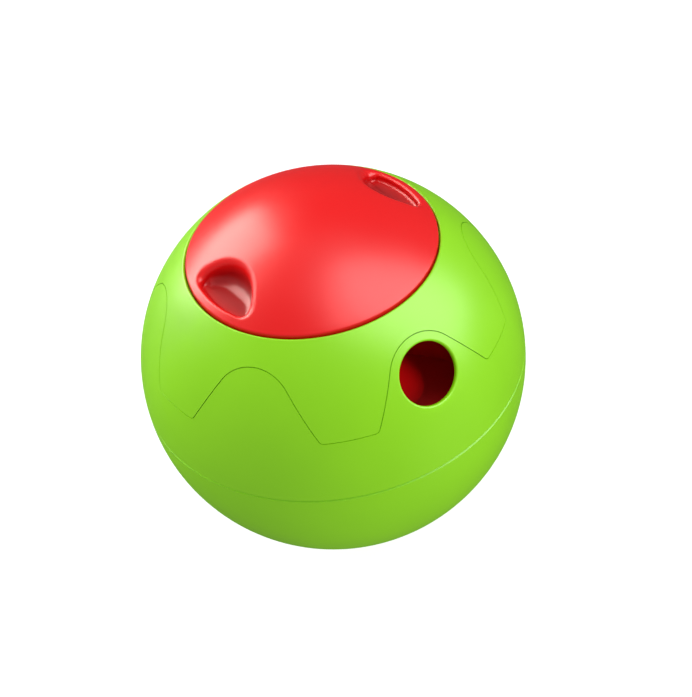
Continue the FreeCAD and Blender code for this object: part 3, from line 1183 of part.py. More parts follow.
os.makedirs("parts", exist_ok=True)
for item in pieces:
    item.Shape.exportStep("parts/%s.step" % item.Label)
    box = item.Shape.BoundBox
    print("%-18s %2d solids %9.1f mm3  z %6.1f to %6.1f" % (item.Label, len(item.Shape.Solids), item.Shape.Volume, box.ZMin, box.ZMax))
print(len(pieces), "pieces")
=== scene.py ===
import bpy
import numpy as np
from mathutils import Matrix, Vector


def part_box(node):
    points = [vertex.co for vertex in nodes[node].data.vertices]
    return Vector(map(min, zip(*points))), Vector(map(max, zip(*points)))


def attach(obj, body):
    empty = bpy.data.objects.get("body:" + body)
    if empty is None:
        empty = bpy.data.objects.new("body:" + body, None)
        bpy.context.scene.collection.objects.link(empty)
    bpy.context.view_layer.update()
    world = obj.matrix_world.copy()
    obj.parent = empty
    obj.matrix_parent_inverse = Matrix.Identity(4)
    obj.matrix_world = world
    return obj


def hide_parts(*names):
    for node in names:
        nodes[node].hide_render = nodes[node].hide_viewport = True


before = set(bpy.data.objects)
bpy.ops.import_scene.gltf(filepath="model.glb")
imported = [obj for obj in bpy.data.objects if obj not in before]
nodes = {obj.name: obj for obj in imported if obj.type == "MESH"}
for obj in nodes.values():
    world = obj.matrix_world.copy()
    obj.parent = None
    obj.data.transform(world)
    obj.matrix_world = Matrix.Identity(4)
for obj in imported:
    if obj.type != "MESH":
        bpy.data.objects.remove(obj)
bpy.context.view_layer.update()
mm = 0.001
ballR, landR = 101.6, 33.0  # mm: the ball, and the flat land that it stands on
centreUp = np.sqrt(ballR ** 2 - landR ** 2)  # mm: the middle of the ball above the floor
ballCentre = np.array([0.0, 0.0, round(centreUp, 3) * mm])  # the same point in metres
print("frame loaded:", len(nodes), "nodes")


# small helpers

def linear(hexColour):  # an sRGB hex colour as linear red, green, blue and alpha
    channels = [int(hexColour[i:i + 2], 16) / 255 for i in (0, 2, 4)]
    return tuple(c / 12.92 if c <= 0.04045 else ((c + 0.055) / 1.055) ** 2.4 for c in channels) + (1.0,)


def scaleFor(size):  # the scale of a pattern whose grain is this many mm wide
    return 1 / (size * mm)


# settings are properties or socket values, and links are sources, by the socket's name or number;
# a mix of colours has its share in socket 0 and its colours in 6 and 7, and a mix of numbers in 2 and 3
def addNode(tree, kind, settings=None, links=None):
    node = tree.nodes.new(kind)
    for name, value in (settings or {}).items():
        if isinstance(name, str) and hasattr(node, name):
            setattr(node, name, value)
        else:
            node.inputs[name].default_value = value
    for name, source in (links or {}).items():
        tree.links.new(source, node.inputs[name])
    return node


def startMaterial(name):  # an empty material and its Object coordinates
    material = bpy.data.materials.new(name)
    material.use_nodes = True
    tree = material.node_tree
    tree.nodes.clear()
    place = addNode(tree, "ShaderNodeTexCoord").outputs["Object"]
    return material, tree, place


def closeMaterial(tree, settings, links):
    shader = addNode(tree, "ShaderNodeBsdfPrincipled", settings, links)
    addNode(tree, "ShaderNodeOutputMaterial", None, {"Surface": shader.outputs["BSDF"]})


def dress(material, *names):
    for name in names:
        mesh = nodes[name].data
        mesh.materials.clear()
        mesh.materials.append(material)


# plastics: each is one colour all through, which drifts slowly over the face, under the texture of its tool.
# Real tool texture is a tenth of a millimetre wide, and is drawn coarser here so that it shows.
# Handling has polished some places more than others, and thick places sank a little as they cooled.
# ABS has an IOR of about 1.54, and 1.40 matches the mild shine of this ball.
# A soft noise lies mostly between 0.2 and 0.8, and one with more detail between 0.3 and 0.7
plastic = {
    "ior": 1.40, "driftMm": 55, "handlingMm": 30, "roughDrift": 0.03,
    "grainMm": 0.9, "grainDeep": 0.010, "grainShare": 0.5, "sagMm": 40, "sagDeep": 0.02, "extra": {},
}


def mouldedPlastic(name, look):
    look = {**plastic, **look}
    material, tree, place = startMaterial(name)
    drift = addNode(tree, "ShaderNodeTexNoise", {
        "Scale": scaleFor(look["driftMm"]), "Detail": 2.0, "Roughness": 0.5}, {"Vector": place})
    colour = addNode(tree, "ShaderNodeMix", {
        "data_type": "RGBA", 6: linear(look["deep"]), 7: linear(look["pale"])}, {0: drift.outputs[0]})
    # painted shade: the deeper a spot lies in a pocket, the more its red turns to the darker pocket shade
    # colour
    if "pocket" in look:  # the piece's own depth attribute: 0 on its face, 1 at the bottom of its pockets
        depth = addNode(tree, "ShaderNodeAttribute", {"attribute_name": "depth"})
        colour = addNode(tree, "ShaderNodeMix", {
            "data_type": "RGBA", 7: linear(look["pocket"])}, {0: depth.outputs["Fac"], 6: colour.outputs[2]})
    handling = addNode(tree, "ShaderNodeTexNoise", {
        "Scale": scaleFor(look["handlingMm"]), "Detail": 1.0, "Roughness": 0.4}, {"Vector": place})
    shine = addNode(tree, "ShaderNodeMapRange", {
        1: 0.2, 2: 0.8, 3: look["rough"] - look["roughDrift"], 4: look["rough"] + look["roughDrift"],
    }, {0: handling.outputs[0]})
    grain = addNode(tree, "ShaderNodeTexNoise", {
        "Scale": scaleFor(look["grainMm"]), "Detail": 1.0, "Roughness": 0.5}, {"Vector": place})
    sag = addNode(tree, "ShaderNodeTexNoise", {
        "Scale": scaleFor(look["sagMm"]), "Detail": 0.0}, {"Vector": place})
    wide = addNode(tree, "ShaderNodeBump", {
        "Strength": 1.0, "Distance": look["sagDeep"] * mm}, {"Height": sag.outputs[0]})
    fine = addNode(tree, "ShaderNodeBump", {
        "Strength": look["grainShare"], "Distance": look["grainDeep"] * mm,
    }, {"Height": grain.outputs[0], "Normal": wide.outputs[0]})
    closeMaterial(tree, {"IOR": look["ior"], **look["extra"]}, {
        "Base Color": colour.outputs[2], "Roughness": shine.outputs[0], "Normal": fine.outputs[0]})
    return material


# ABS, injection moulded in a finely textured tool: a lively lime with a wide soft shine
limeAbs = mouldedPlastic("moulded lime ABS", {"deep": "8AD60A", "pale": "93DF0E", "rough": 0.36})
# the same ABS on inner faces, where the tool was left dull
limeDull = mouldedPlastic("moulded lime ABS, dull inside", {
    "deep": "7DC40C", "pale": "88D012", "rough": 0.55, "grainMm": 0.7, "grainDeep": 0.02})
# the same ABS from a tool etched with a coarser grain, for grip: it looks a shade flatter
limeGrained = mouldedPlastic("moulded lime ABS, grained", {
    "deep": "84CC0B", "pale": "8DD610", "rough": 0.47, "grainMm": 1.1, "grainDeep": 0.05, "grainShare": 0.8})
# ABS, moulded in a polished tool: deep red and smoother than the casing, with painted shade that turns the
# red darker in the pockets
redAbs = mouldedPlastic("moulded red ABS", {
    "deep": "E20508", "pale": "EC070B", "pocket": "A20408", "rough": 0.32, "driftMm": 70, "grainDeep": 0.006})
# polypropylene, injection moulded: softer red with a waxy shine
redPolypropylene = mouldedPlastic("moulded red polypropylene", {
    "deep": "C4080C", "pale": "D40A0F", "rough": 0.42, "ior": 1.49, "grainDeep": 0.015})
# acetal, moulded and left its own milky white: slippery, so it shines softly, and a little light goes in
whiteAcetal = mouldedPlastic("moulded white acetal", {
    "deep": "E6E2D6", "pale": "F0EDE3", "rough": 0.38, "ior": 1.48, "grainMm": 0.6,
    "extra": {"Subsurface Weight": 0.15, "Subsurface Scale": 1.0 * mm}})
# glass filled nylon, moulded: nearly black, with a dry mottled skin where the fibres come up
blackNylon = mouldedPlastic("moulded glass filled nylon", {
    "deep": "1F2123", "pale": "2A2C2F", "rough": 0.58, "ior": 1.53, "driftMm": 3.0,
    "grainMm": 0.5, "grainDeep": 0.03, "grainShare": 0.8})
# ABS, moulded in a spark eroded tool: dark grey with an even pebble
darkAbs = mouldedPlastic("moulded dark grey ABS", {
    "deep": "35383B", "pale": "3E4144", "rough": 0.5, "grainMm": 0.7, "grainDeep": 0.03, "grainShare": 0.7})
# the same for the column and its panel, a shade darker and with a finer pebble
charcoalAbs = mouldedPlastic("moulded charcoal ABS", {
    "deep": "26282A", "pale": "2F3133", "rough": 0.46,
    "grainMm": 0.55, "grainDeep": 0.025, "grainShare": 0.7})
# silicone rubber over a hard cap: pale grey, velvety and without a sharp highlight
greySilicone = mouldedPlastic("moulded grey silicone", {
    "deep": "DEDEDA", "pale": "E8E8E4", "rough": 0.62, "ior": 1.41, "grainMm": 0.5,
    "extra": {"Sheen Weight": 0.2}})
# tinted polystyrene, moulded clear: light passes into each lens and comes out soft
tintedLens = mouldedPlastic("moulded tinted polystyrene", {
    "deep": "D4F2CC", "pale": "E0FAD8", "rough": 0.16, "ior": 1.59, "grainDeep": 0.002,
    "extra": {"Transmission Weight": 0.7}})
# closed cell rubber, cut from sheet: black and matt, with a skin of small bubbles
cellRubber = mouldedPlastic("cut cellular rubber", {
    "deep": "232426", "pale": "2C2D2F", "rough": 0.85, "ior": 1.52,
    "grainMm": 0.6, "grainDeep": 0.08, "grainShare": 1.0})

dress(limeAbs, "top_shell", "side_shell", "base_shell")
dress(limeGrained, "battery_door")
dress(limeDull, "lid_liner")
dress(redPolypropylene, "treat_drum")
dress(whiteAcetal, "ring_gear", "drive_pinion", "drive_gear", "second_gear", "first_gear")
dress(blackNylon, "motor_cap", "panel_spacers", "mode_switch", "index_sensor", "sounder")
dress(darkAbs, "deck_plate", "gearbox_cover", "cell_cradle", "thrust_washer")
dress(charcoalAbs, "centre_column", "control_panel")
dress(greySilicone, "mode_button")
dress(tintedLens, "indicator_lights")
dress(cellRubber, "door_seal")
print("plastics finished")


# metals: the marks of the tool run one way and vary the shine, over a wide faint cloud of the plating.
# Real tool marks are a few hundredths of a millimetre apart, and are drawn coarser here so that they show
def workedMetal(name, look):
    material, tree, place = startMaterial(name)
    along = addNode(tree, "ShaderNodeMapping", {"Scale": look["run"]}, {"Vector": place})
    marks = addNode(tree, "ShaderNodeTexNoise", {
        "Scale": scaleFor(look["markMm"]), "Detail": 3.0, "Roughness": 0.6}, {"Vector": along.outputs[0]})
    cloud = addNode(tree, "ShaderNodeTexNoise", {
        "Scale": scaleFor(look["cloudMm"]), "Detail": 3.0, "Roughness": 0.5}, {"Vector": place})
    colour = addNode(tree, "ShaderNodeMix", {
        "data_type": "RGBA", 6: linear(look["deep"]), 7: linear(look["pale"])}, {0: cloud.outputs[0]})
    shine = addNode(tree, "ShaderNodeMapRange", {
        1: 0.3, 2: 0.7, 3: look["rough"] - look["roughDrift"], 4: look["rough"] + look["roughDrift"],
    }, {0: marks.outputs[0]})
    cut = addNode(tree, "ShaderNodeBump", {
        "Strength": 0.5, "Distance": look["markDeep"] * mm}, {"Height": marks.outputs[0]})
    closeMaterial(tree, {"Metallic": 1.0}, {
        "Base Color": colour.outputs[2], "Roughness": shine.outputs[0], "Normal": cut.outputs[0]})
    return material


# run is near 0 along the marks and 1 across them
# steel screws, cold headed and zinc plated: grey with a faint blue and straw cloud
zincScrews = workedMetal("zinc plated steel", {
    "deep": "8F979E", "pale": "B9B7A8", "rough": 0.34, "roughDrift": 0.06,
    "run": (1, 1, 1), "markMm": 0.5, "markDeep": 0.01, "cloudMm": 4})
# steel, ground between centres: bright, with fine rings round the shaft
groundSteel = workedMetal("ground steel", {
    "deep": "B4B8BC", "pale": "C4C7CA", "rough": 0.22, "roughDrift": 0.06,
    "run": (0.04, 0.04, 1), "markMm": 0.25, "markDeep": 0.006, "cloudMm": 9})
# steel sheet, deep drawn and nickel plated: warm grey, with marks up the side
nickelCan = workedMetal("drawn nickel plated steel", {
    "deep": "A9ABA9", "pale": "BDBFBC", "rough": 0.30, "roughDrift": 0.05,
    "run": (1, 1, 0.03), "markMm": 0.4, "markDeep": 0.006, "cloudMm": 8})
# brass, turned on a lathe: yellow, with rings left by the tool
turnedBrass = workedMetal("turned brass", {
    "deep": "C79A45", "pale": "D9B15C", "rough": 0.25, "roughDrift": 0.07,
    "run": (0.04, 0.04, 1), "markMm": 0.3, "markDeep": 0.008, "cloudMm": 5})
# spring steel, drawn and nickel plated: the brightest metal here
springSteel = workedMetal("nickel plated spring steel", {
    "deep": "C9CBCB", "pale": "D8D9D8", "rough": 0.17, "roughDrift": 0.04,
    "run": (1, 0.1, 1), "markMm": 0.4, "markDeep": 0.003, "cloudMm": 6})

dress(zincScrews, "lid_pivot_screw", "ring_screws", "column_screws", "panel_screws", "board_screws")
dress(zincScrews, "deck_screws", "base_screws", "gearbox_screws", "motor_screws", "door_screws")
dress(groundSteel, "drive_shaft", "gear_pins", "motor_rotor")
dress(nickelCan, "motor_can", "index_magnets")
dress(turnedBrass, "motor_pinion", "shaft_bushes")
dress(springSteel, "top_contacts", "bridge_contact")
print("metals finished")


# the boards: woven glass under green lacquer. Copper tracks at right angles lie beneath it, where two cells
# of a pattern meet, and tinned pads on the boards' tenth of an inch come through it
def lacqueredBoard(name, look):
    material, tree, place = startMaterial(name)
    cells = {"distance": "MANHATTAN", "Scale": scaleFor(look["trackMm"]), "Randomness": 0.8}
    near = addNode(tree, "ShaderNodeTexVoronoi", cells, {"Vector": place})
    second = addNode(tree, "ShaderNodeTexVoronoi", {**cells, "feature": "F2"}, {"Vector": place})
    gap = addNode(tree, "ShaderNodeMath", {"operation": "SUBTRACT"}, {
        0: second.outputs["Distance"], 1: near.outputs["Distance"]})
    track = addNode(tree, "ShaderNodeMapRange", {
        1: look["trackFrom"], 2: look["trackTo"], 3: 1.0, 4: 0.0}, {0: gap.outputs[0]})
    spots = addNode(tree, "ShaderNodeTexVoronoi", {
        "Scale": scaleFor(look["padEveryMm"]), "Randomness": 0.35}, {"Vector": place})
    share = look["padMm"] / 2 / look["padEveryMm"]
    pad = addNode(tree, "ShaderNodeMapRange", {
        1: share, 2: share * look["padEdge"], 3: 1.0, 4: 0.0}, {0: spots.outputs["Distance"]})
    weave = addNode(tree, "ShaderNodeTexNoise", {
        "Scale": scaleFor(look["weaveMm"]), "Detail": 1.0}, {"Vector": place})
    green = addNode(tree, "ShaderNodeMix", {
        "data_type": "RGBA", 6: linear(look["bare"]), 7: linear(look["overCopper"])}, {0: track.outputs[0]})
    colour = addNode(tree, "ShaderNodeMix", {
        "data_type": "RGBA", 7: linear(look["tin"])}, {0: pad.outputs[0], 6: green.outputs[2]})
    shine = addNode(tree, "ShaderNodeMapRange", {
        1: 0.3, 2: 0.7, 3: look["rough"] - look["roughDrift"], 4: look["rough"] + look["roughDrift"],
    }, {0: weave.outputs[0]})
    raised = addNode(tree, "ShaderNodeMath", {"operation": "ADD"}, {0: track.outputs[0], 1: pad.outputs[0]})
    bump = addNode(tree, "ShaderNodeBump", {
        "Strength": 0.6, "Distance": look["copperMm"] * mm}, {"Height": raised.outputs[0]})
    closeMaterial(tree, {"IOR": look["ior"]}, {
        "Base Color": colour.outputs[2], "Metallic": pad.outputs[0],
        "Roughness": shine.outputs[0], "Normal": bump.outputs[0]})
    return material


greenBoard = lacqueredBoard("lacquered glass fibre board", {
    "ior": 1.5, "rough": 0.29, "roughDrift": 0.05, "weaveMm": 0.4,
    "trackMm": 3.2, "trackFrom": 0.10, "trackTo": 0.16, "copperMm": 0.05,
    "padEveryMm": 2.54, "padMm": 0.9, "padEdge": 1.1,
    "bare": "0C4A22", "overCopper": "1C7336", "tin": "C8CACB"})
dress(greenBoard, "main_board", "control_board")


# the cells: steel ends where the face looks up or down, and a plain film shrunk round the side,
# darker below the height of its band, with the long soft wrinkles that shrinking leaves
def filmedCell(name, look):
    material, tree, place = startMaterial(name)
    facing = addNode(tree, "ShaderNodeTexCoord").outputs["Normal"]
    way = addNode(tree, "ShaderNodeSeparateXYZ", None, {0: facing})
    upright = addNode(tree, "ShaderNodeMath", {"operation": "ABSOLUTE"}, {0: way.outputs[2]})
    end = addNode(tree, "ShaderNodeMapRange", {
        1: look["sideTo"], 2: look["endFrom"], 3: 0.0, 4: 1.0}, {0: upright.outputs[0]})
    height = addNode(tree, "ShaderNodeSeparateXYZ", None, {0: place})
    aboveBand = addNode(tree, "ShaderNodeMapRange", {
        1: look["bandAt"] * mm, 2: (look["bandAt"] + look["bandSoft"]) * mm, 3: 0.0, 4: 1.0,
    }, {0: height.outputs[2]})
    wrinkle = addNode(tree, "ShaderNodeTexNoise", {
        "Scale": scaleFor(look["wrinkleMm"]), "Detail": 2.0}, {"Vector": place})
    film = addNode(tree, "ShaderNodeMix", {
        "data_type": "RGBA", 6: linear(look["band"]), 7: linear(look["film"])}, {0: aboveBand.outputs[0]})
    colour = addNode(tree, "ShaderNodeMix", {
        "data_type": "RGBA", 7: linear(look["steel"])}, {0: end.outputs[0], 6: film.outputs[2]})
    shine = addNode(tree, "ShaderNodeMapRange", {
        1: 0.3, 2: 0.7, 3: look["rough"] - look["roughDrift"], 4: look["rough"] + look["roughDrift"],
    }, {0: wrinkle.outputs[0]})
    bump = addNode(tree, "ShaderNodeBump", {
        "Strength": 0.4, "Distance": look["wrinkleDeep"] * mm}, {"Height": wrinkle.outputs[0]})
    closeMaterial(tree, {"Coat Weight": look["coat"]}, {
        "Base Color": colour.outputs[2], "Metallic": end.outputs[0],
        "Roughness": shine.outputs[0], "Normal": bump.outputs[0]})
    return material


cellFilm = filmedCell("shrunk film over steel", {
    "film": "A9B7C4", "band": "2F3B46", "steel": "BFC2C4", "rough": 0.25, "roughDrift": 0.05, "coat": 0.2,
    "bandAt": 20.5, "bandSoft": 0.2, "wrinkleMm": 5, "wrinkleDeep": 0.03,
    "sideTo": 0.55, "endFrom": 0.75})  # how far a face looks up or down where film ends and steel starts
dress(cellFilm, "battery_cells")
print("boards and cells finished")


# surfaces: grids of points joined by faces, welded where they meet, in mm about the middle of the ball

def gridFaces(rows, columns, closed, flip=False):  # quads of a grid; closed: its last column meets its first
    r, c = np.meshgrid(np.arange(rows - 1), np.arange(columns if closed else columns - 1), indexing="ij")
    n = (c + 1) % columns
    corners = [r * columns + c, r * columns + n, (r + 1) * columns + n, (r + 1) * columns + c]
    quads = np.stack(corners, -1).reshape(-1, 4)
    return quads[:, ::-1] if flip else quads


def fanFaces(row, columns, pole, flip=False):  # triangles from a closed row to one point
    c = np.arange(columns)
    tris = np.stack([row * columns + c, row * columns + (c + 1) % columns, np.full(columns, pole)], -1)
    return tris[:, ::-1] if flip else tris


def carried(radius, height, angles):  # a profile carried round the axis: a row for each radius and height
    radius = np.asarray(radius, float)[:, None]
    return np.stack([radius * np.cos(angles), radius * np.sin(angles), height * np.ones(len(angles))], -1)


def lifted(plan, height):  # points of a plan, raised to a height of their own
    return np.concatenate([plan, np.broadcast_to(height, plan.shape[:-1])[..., None]], -1)


def domeHeight(plan, radius):  # the height of a sphere about the middle of the ball, over points of a plan
    return np.sqrt(radius * radius - plan[..., 0] ** 2 - plan[..., 1] ** 2)


def step(low, high, value):  # rises smoothly from 0 at low to 1 at high, as 3 t squared less 2 t cubed
    t = np.clip((value - low) / (high - low), 0, 1)
    return t * t * (3 - 2 * t)


class Shell:  # collects grids of points and their faces, and makes one closed mesh of them
    def __init__(self):
        self.points, self.quads, self.tris, self.count = [], [], [], 0

    def add(self, points, quads, tris=None, turn=False):  # turn: carried half way round the axis
        points = np.asarray(points, float).reshape(-1, 3)
        self.points.append(points * (-1, -1, 1) if turn else points)
        self.quads.append(quads + self.count)
        if tris is not None:
            self.tris.append(tris + self.count)
        self.count += len(points)

    def make(self, name, material, body, slot, depth=None):
        sameTo, crease = 4, 35.0  # points alike to 4 decimals are one, and edges past 35 degrees stay sharp
        points = np.concatenate(self.points)
        rounded = np.round(points, sameTo) + 0.0  # the sum turns a minus zero into zero
        first, back = np.unique(rounded, axis=0, return_index=True, return_inverse=True)[1:]
        points, back = points[first], back.reshape(-1)
        quads = back[np.concatenate(self.quads)]
        tris = back[np.concatenate(self.tris)]
        same = quads == np.roll(quads, -1, axis=1)  # a quad with two corners in one place is a triangle
        threes = same.sum(1) == 1
        tris = np.concatenate([tris, quads[threes][~same[threes]].reshape(-1, 3)])
        tris = tris[(tris != np.roll(tris, -1, axis=1)).all(1)]
        quads = quads[same.sum(1) == 0]
        corners = np.concatenate([quads.ravel(), tris.ravel()])
        sizes = np.concatenate([np.full(len(quads), 4), np.full(len(tris), 3)])
        starts = np.concatenate([[0], np.cumsum(sizes)[:-1]])
        mesh = bpy.data.meshes.new(name)
        mesh.vertices.add(len(points))
        mesh.vertices.foreach_set("co", (points * mm + ballCentre).astype(np.float32).ravel())
        mesh.loops.add(len(corners))
        mesh.loops.foreach_set("vertex_index", corners.astype(np.int32))
        mesh.polygons.add(len(sizes))
        mesh.polygons.foreach_set("loop_start", starts.astype(np.int32))
        mesh.polygons.foreach_set("use_smooth", np.ones(len(sizes), bool))
        mesh.update(calc_edges=True)
        mesh.validate()
        mesh.set_sharp_from_angle(angle=np.radians(crease))
        if depth is not None:
            depths = mesh.attributes.new("depth", "FLOAT", "POINT").data
            depths.foreach_set("value", depth(points).astype(np.float32))
        mesh.materials.append(material)
        obj = bpy.data.objects.new(name, mesh)
        bpy.context.scene.collection.objects.link(obj)
        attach(obj, body)
        return obj


# the lid: a dome with two scooped recesses, each a flat D with a rounded arch and a thin lip
lugLow = round(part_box("lid_cover")[0][2] / mm - centreUp, 3)  # the lowest face of the lid
hair = 1e-6
lid = {
    "ballR": ballR, "wall": 2.6, "edgeR": 64.35, "edgeRound": 1.3, "edgeSoft": 0.3, "rimIn": 61.8,
    "low": lugLow + 6.2, "floor": lugLow + 10.1, "under": lugLow + 7.9,
    # a recess: its outline, its rounding and its cove, which is deepest at the arch's middle
    "archX": 61.0, "archR": 20.3, "lipR": 59.3, "cornerR": 4.6, "wallBehind": 2.2,
    "lipRound": 1.6, "archRound": 4.8, "lipCove": 1.8, "flankCove": 4.2, "apexCove": 8.0, "coveSpare": 0.05,
    # shadeFrom and shadeTo, in mm under the dome, are where the painted shade of a recess starts and where it
    # is full
    "fanX": 49.0, "floorX": 52.0, "backFrom": 0.30, "backTo": 0.42, "shadeFrom": 1.5, "shadeTo": 10.0,
    # steps along the lip, a corner and the arch; down the dome, the rounding and the cove; and on the rim
    "lipSteps": 17, "cornerSteps": 31, "archSteps": 61, "domeSteps": 40, "roundSteps": 15, "coveSteps": 13,
    "floorShares": (0.35, 0.7), "underSteps": 16, "edgeSteps": 8, "softSteps": 5,
    # the skirt, its lugs and the boss for the pivot screw; sink is how far they run into what they stand on
    "skirtOut": 57.4, "skirtIn": 55.2, "skirtLow": lugLow, "skirtSoft": 0.35, "skirtEvery": 0.75,
    "sink": 0.9, "pocketSink": 1.0, "pocketReach": 1.1,
    "lugs": (30, 150, 270), "lugSpan": 24, "lugR": 61.5, "lugHigh": lugLow + 2.8,
    "lugRoot": 1.1, "lugSoft": 0.3, "lugSteps": 25,
    "bossR": 7.0, "bossLow": lugLow + 2.85, "bossSoft": 0.4, "bossEvery": 7.5,
    "boreR": 1.25, "boreSoft": 0.3, "boreDeep": 10.0,
}


# the wall of a recess, by the way that its outward side faces: an arc about the axis, an arc about a corner
# and an arc about the arch's middle, each touching the next
def lidOutline(look):
    big, arch, corner, at = look["lipR"], look["archR"], look["cornerR"], look["archX"]
    cornerX = ((big - corner) ** 2 - (arch - corner) ** 2 + at ** 2) / (2 * at)
    cornerY = np.sqrt((big - corner) ** 2 - cornerX ** 2)
    lipEnd, archFrom = np.arctan2(cornerY, cornerX), np.arctan2(cornerY, cornerX - at)
    face = np.concatenate([
        np.linspace(0, lipEnd, look["lipSteps"])[:-1],
        np.linspace(lipEnd, archFrom, look["cornerSteps"])[:-1],
        np.linspace(archFrom, np.pi, look["archSteps"])])
    onLip = face < lipEnd - hair
    onCorner = ~onLip & (face < archFrom - hair)
    middle = np.where(onLip[:, None], (0, 0), np.where(onCorner[:, None], (cornerX, cornerY), (at, 0)))
    radius = np.where(onLip, big, np.where(onCorner, corner, arch))
    face = np.concatenate([-face[::-1], face[1:-1]])  # from the arch's middle round to just before it
    middle = np.concatenate([middle[::-1] * (1, -1), middle[1:-1]])
    radius = np.concatenate([radius[::-1], radius[1:-1]])
    return face, middle, radius, lipEnd, archFrom


# a recess: for each spot of its outline, the wall, the width of the rounding above and of the cove below.
# The rounding is an arc that leaves the dome along its slope, where it starts, and turns down into the wall
def recessForm(look):
    face, middle, radius, lipEnd, archFrom = lidOutline(look)
    side = np.stack([np.cos(face), np.sin(face)], -1)
    wall = middle + radius[:, None] * side
    turned = np.abs(face)
    archShare = step(lipEnd, archFrom, turned)
    edge = look["lipRound"] + (look["archRound"] - look["lipRound"]) * archShare
    cove = look["lipCove"] + (look["flankCove"] - look["lipCove"]) * archShare
    cove = cove + (look["apexCove"] - look["flankCove"]) * step(archFrom, np.pi, turned)
    out = edge.copy()
    for _ in range(6):  # each round brings the start of the arc closer to where its slope is the dome's
        start = wall + out[:, None] * side
        high = domeHeight(start, look["ballR"])
        slope = np.arctan((start * side).sum(1) / high)  # climbs towards the recess where positive
        out = edge * (1 + np.sin(slope))
    wallTop = high - edge * np.cos(slope)
    cove = np.minimum(cove, wallTop - look["floor"] - look["coveSpare"])
    return {"side": side, "wall": wall, "start": start, "high": high, "slope": slope,
            "out": out, "edge": edge, "cove": cove}


# the edge of half a lid: a ray from a middle point through each spot of the outline ends on the rim's circle,
# or on the line that parts the two halves, whichever comes first
def halfEdge(look, recess, reach):
    fan = np.array([look["fanX"], 0.0])
    ray = recess["start"] - fan
    angle = np.arctan2(ray[:, 1], ray[:, 0])
    c = np.cos(angle)
    toRim = -fan[0] * c + np.sqrt((fan[0] * c) ** 2 + reach ** 2 - fan[0] ** 2)
    toLine = np.where(c < -hair, -fan[0] / np.minimum(c, -hair), np.inf)
    ends = fan + np.minimum(toRim, toLine)[:, None] * np.stack([c, np.sin(angle)], -1)
    ends[toRim > toLine, 0] = 0.0
    half = len(angle) // 2
    toCorner = np.arctan2(reach, -fan[0])
    last = half + np.argmin(np.abs(angle[half:] - toCorner))  # its ray ends where rim and line meet
    first = (2 * half - last) % len(angle)
    ends[last], ends[first] = (0.0, reach), (0.0, -reach)
    onRim = np.zeros(len(angle), bool)
    onRim[first:last + 1] = True
    return ends, onRim


# the rim: where the edge's rounding starts, its slope there, and where it runs behind a recess, as nearBack,
# which is 1 there and falls smoothly to 0 beside it
def rimForm(look, recess):
    slope = np.arcsin(look["edgeR"] / look["ballR"])
    reach = look["edgeR"] - look["edgeRound"] * (1 - np.sin(slope))
    ends, onRim = halfEdge(look, recess, reach)
    around = np.arctan2(ends[:, 1], ends[:, 0])[onRim]
    nearBack = 1 - step(look["backFrom"], look["backTo"], np.abs(around))
    return {"slope": slope, "reach": reach, "ends": ends, "onRim": onRim,
            "around": around, "nearBack": nearBack}


# the outside of the lid: rows over the dome from its edge to a recess, down the rounding, down the cove,
# which is a quarter circle, and in over the floor to one point
def lidTop(shell, look, recess, ends):
    side, wall, high, slope = recess["side"], recess["wall"], recess["high"], recess["slope"]
    edge, cove = recess["edge"], recess["cove"]
    share = np.linspace(0, 1, look["domeSteps"])[:, None, None] ** 0.8  # rows lie closer near the recess
    plan = ends * (1 - share) + recess["start"] * share
    rows = [lifted(plan, domeHeight(plan, look["ballR"]))]
    t = slope + (-np.pi / 2 - slope) * np.linspace(0, 1, look["roundSteps"])[1:, None]
    d = -recess["out"] + edge * (np.sin(slope) - np.sin(t))
    rows.append(lifted(wall - d[..., None] * side, high + edge * (np.cos(t) - np.cos(slope))))
    t = np.linspace(0, np.pi / 2, look["coveSteps"])[:, None]
    d = cove * (1 - np.cos(t))
    rows.append(lifted(wall - d[..., None] * side, look["floor"] + cove * (1 - np.sin(t))))
    middle = np.array([look["floorX"], 0.0])
    share = np.array(look["floorShares"])[:, None, None]
    rows.append(lifted((wall - cove[:, None] * side) * (1 - share) + middle * share, look["floor"]))
    top = np.concatenate(rows)
    n = len(wall)
    points = np.concatenate([top.reshape(-1, 3), [[*middle, look["floor"]]]])
    for turn in (False, True):
        shell.add(points, gridFaces(len(top), n, True), fanFaces(len(top) - 1, n, len(top) * n), turn)


# the side of the lid: a profile of the rounded edge, the outside, a softened lower edge and the inside,
# carried round. Behind a recess the inside ends at the recess's back instead of at the inner dome
def lidSide(shell, look, rim):
    ends, around = rim["ends"][rim["onRim"]], rim["around"]
    wide, soft = look["edgeRound"], look["edgeSoft"]
    inTop = np.sqrt((look["ballR"] - look["wall"]) ** 2 - look["rimIn"] ** 2)
    inTop = inTop + (look["under"] - inTop) * rim["nearBack"]
    t = np.linspace(rim["slope"], np.pi / 2, look["edgeSteps"])
    roundR = look["edgeR"] - wide + wide * np.sin(t)
    roundZ = np.sqrt(look["ballR"] ** 2 - rim["reach"] ** 2) - wide * (np.cos(rim["slope"]) - np.cos(t))
    t = np.linspace(0, np.pi / 2, look["softSteps"])
    lowR = look["edgeR"] - soft + soft * np.cos(t)
    lowZ = look["low"] + soft - soft * np.sin(t)
    radius = np.concatenate([roundR, lowR, [look["rimIn"], look["rimIn"]]])
    height = np.concatenate([roundZ, lowZ, [look["low"]]])[:, None] * np.ones(len(around))
    strip = carried(radius, np.concatenate([height, inTop[None]]), around)
    strip[:, [0, -1], 0] = 0.0
    strip[0] = lifted(ends, domeHeight(ends, look["ballR"]))
    for turn in (False, True):
        shell.add(strip, gridFaces(len(strip), len(around), False, True), None, turn)


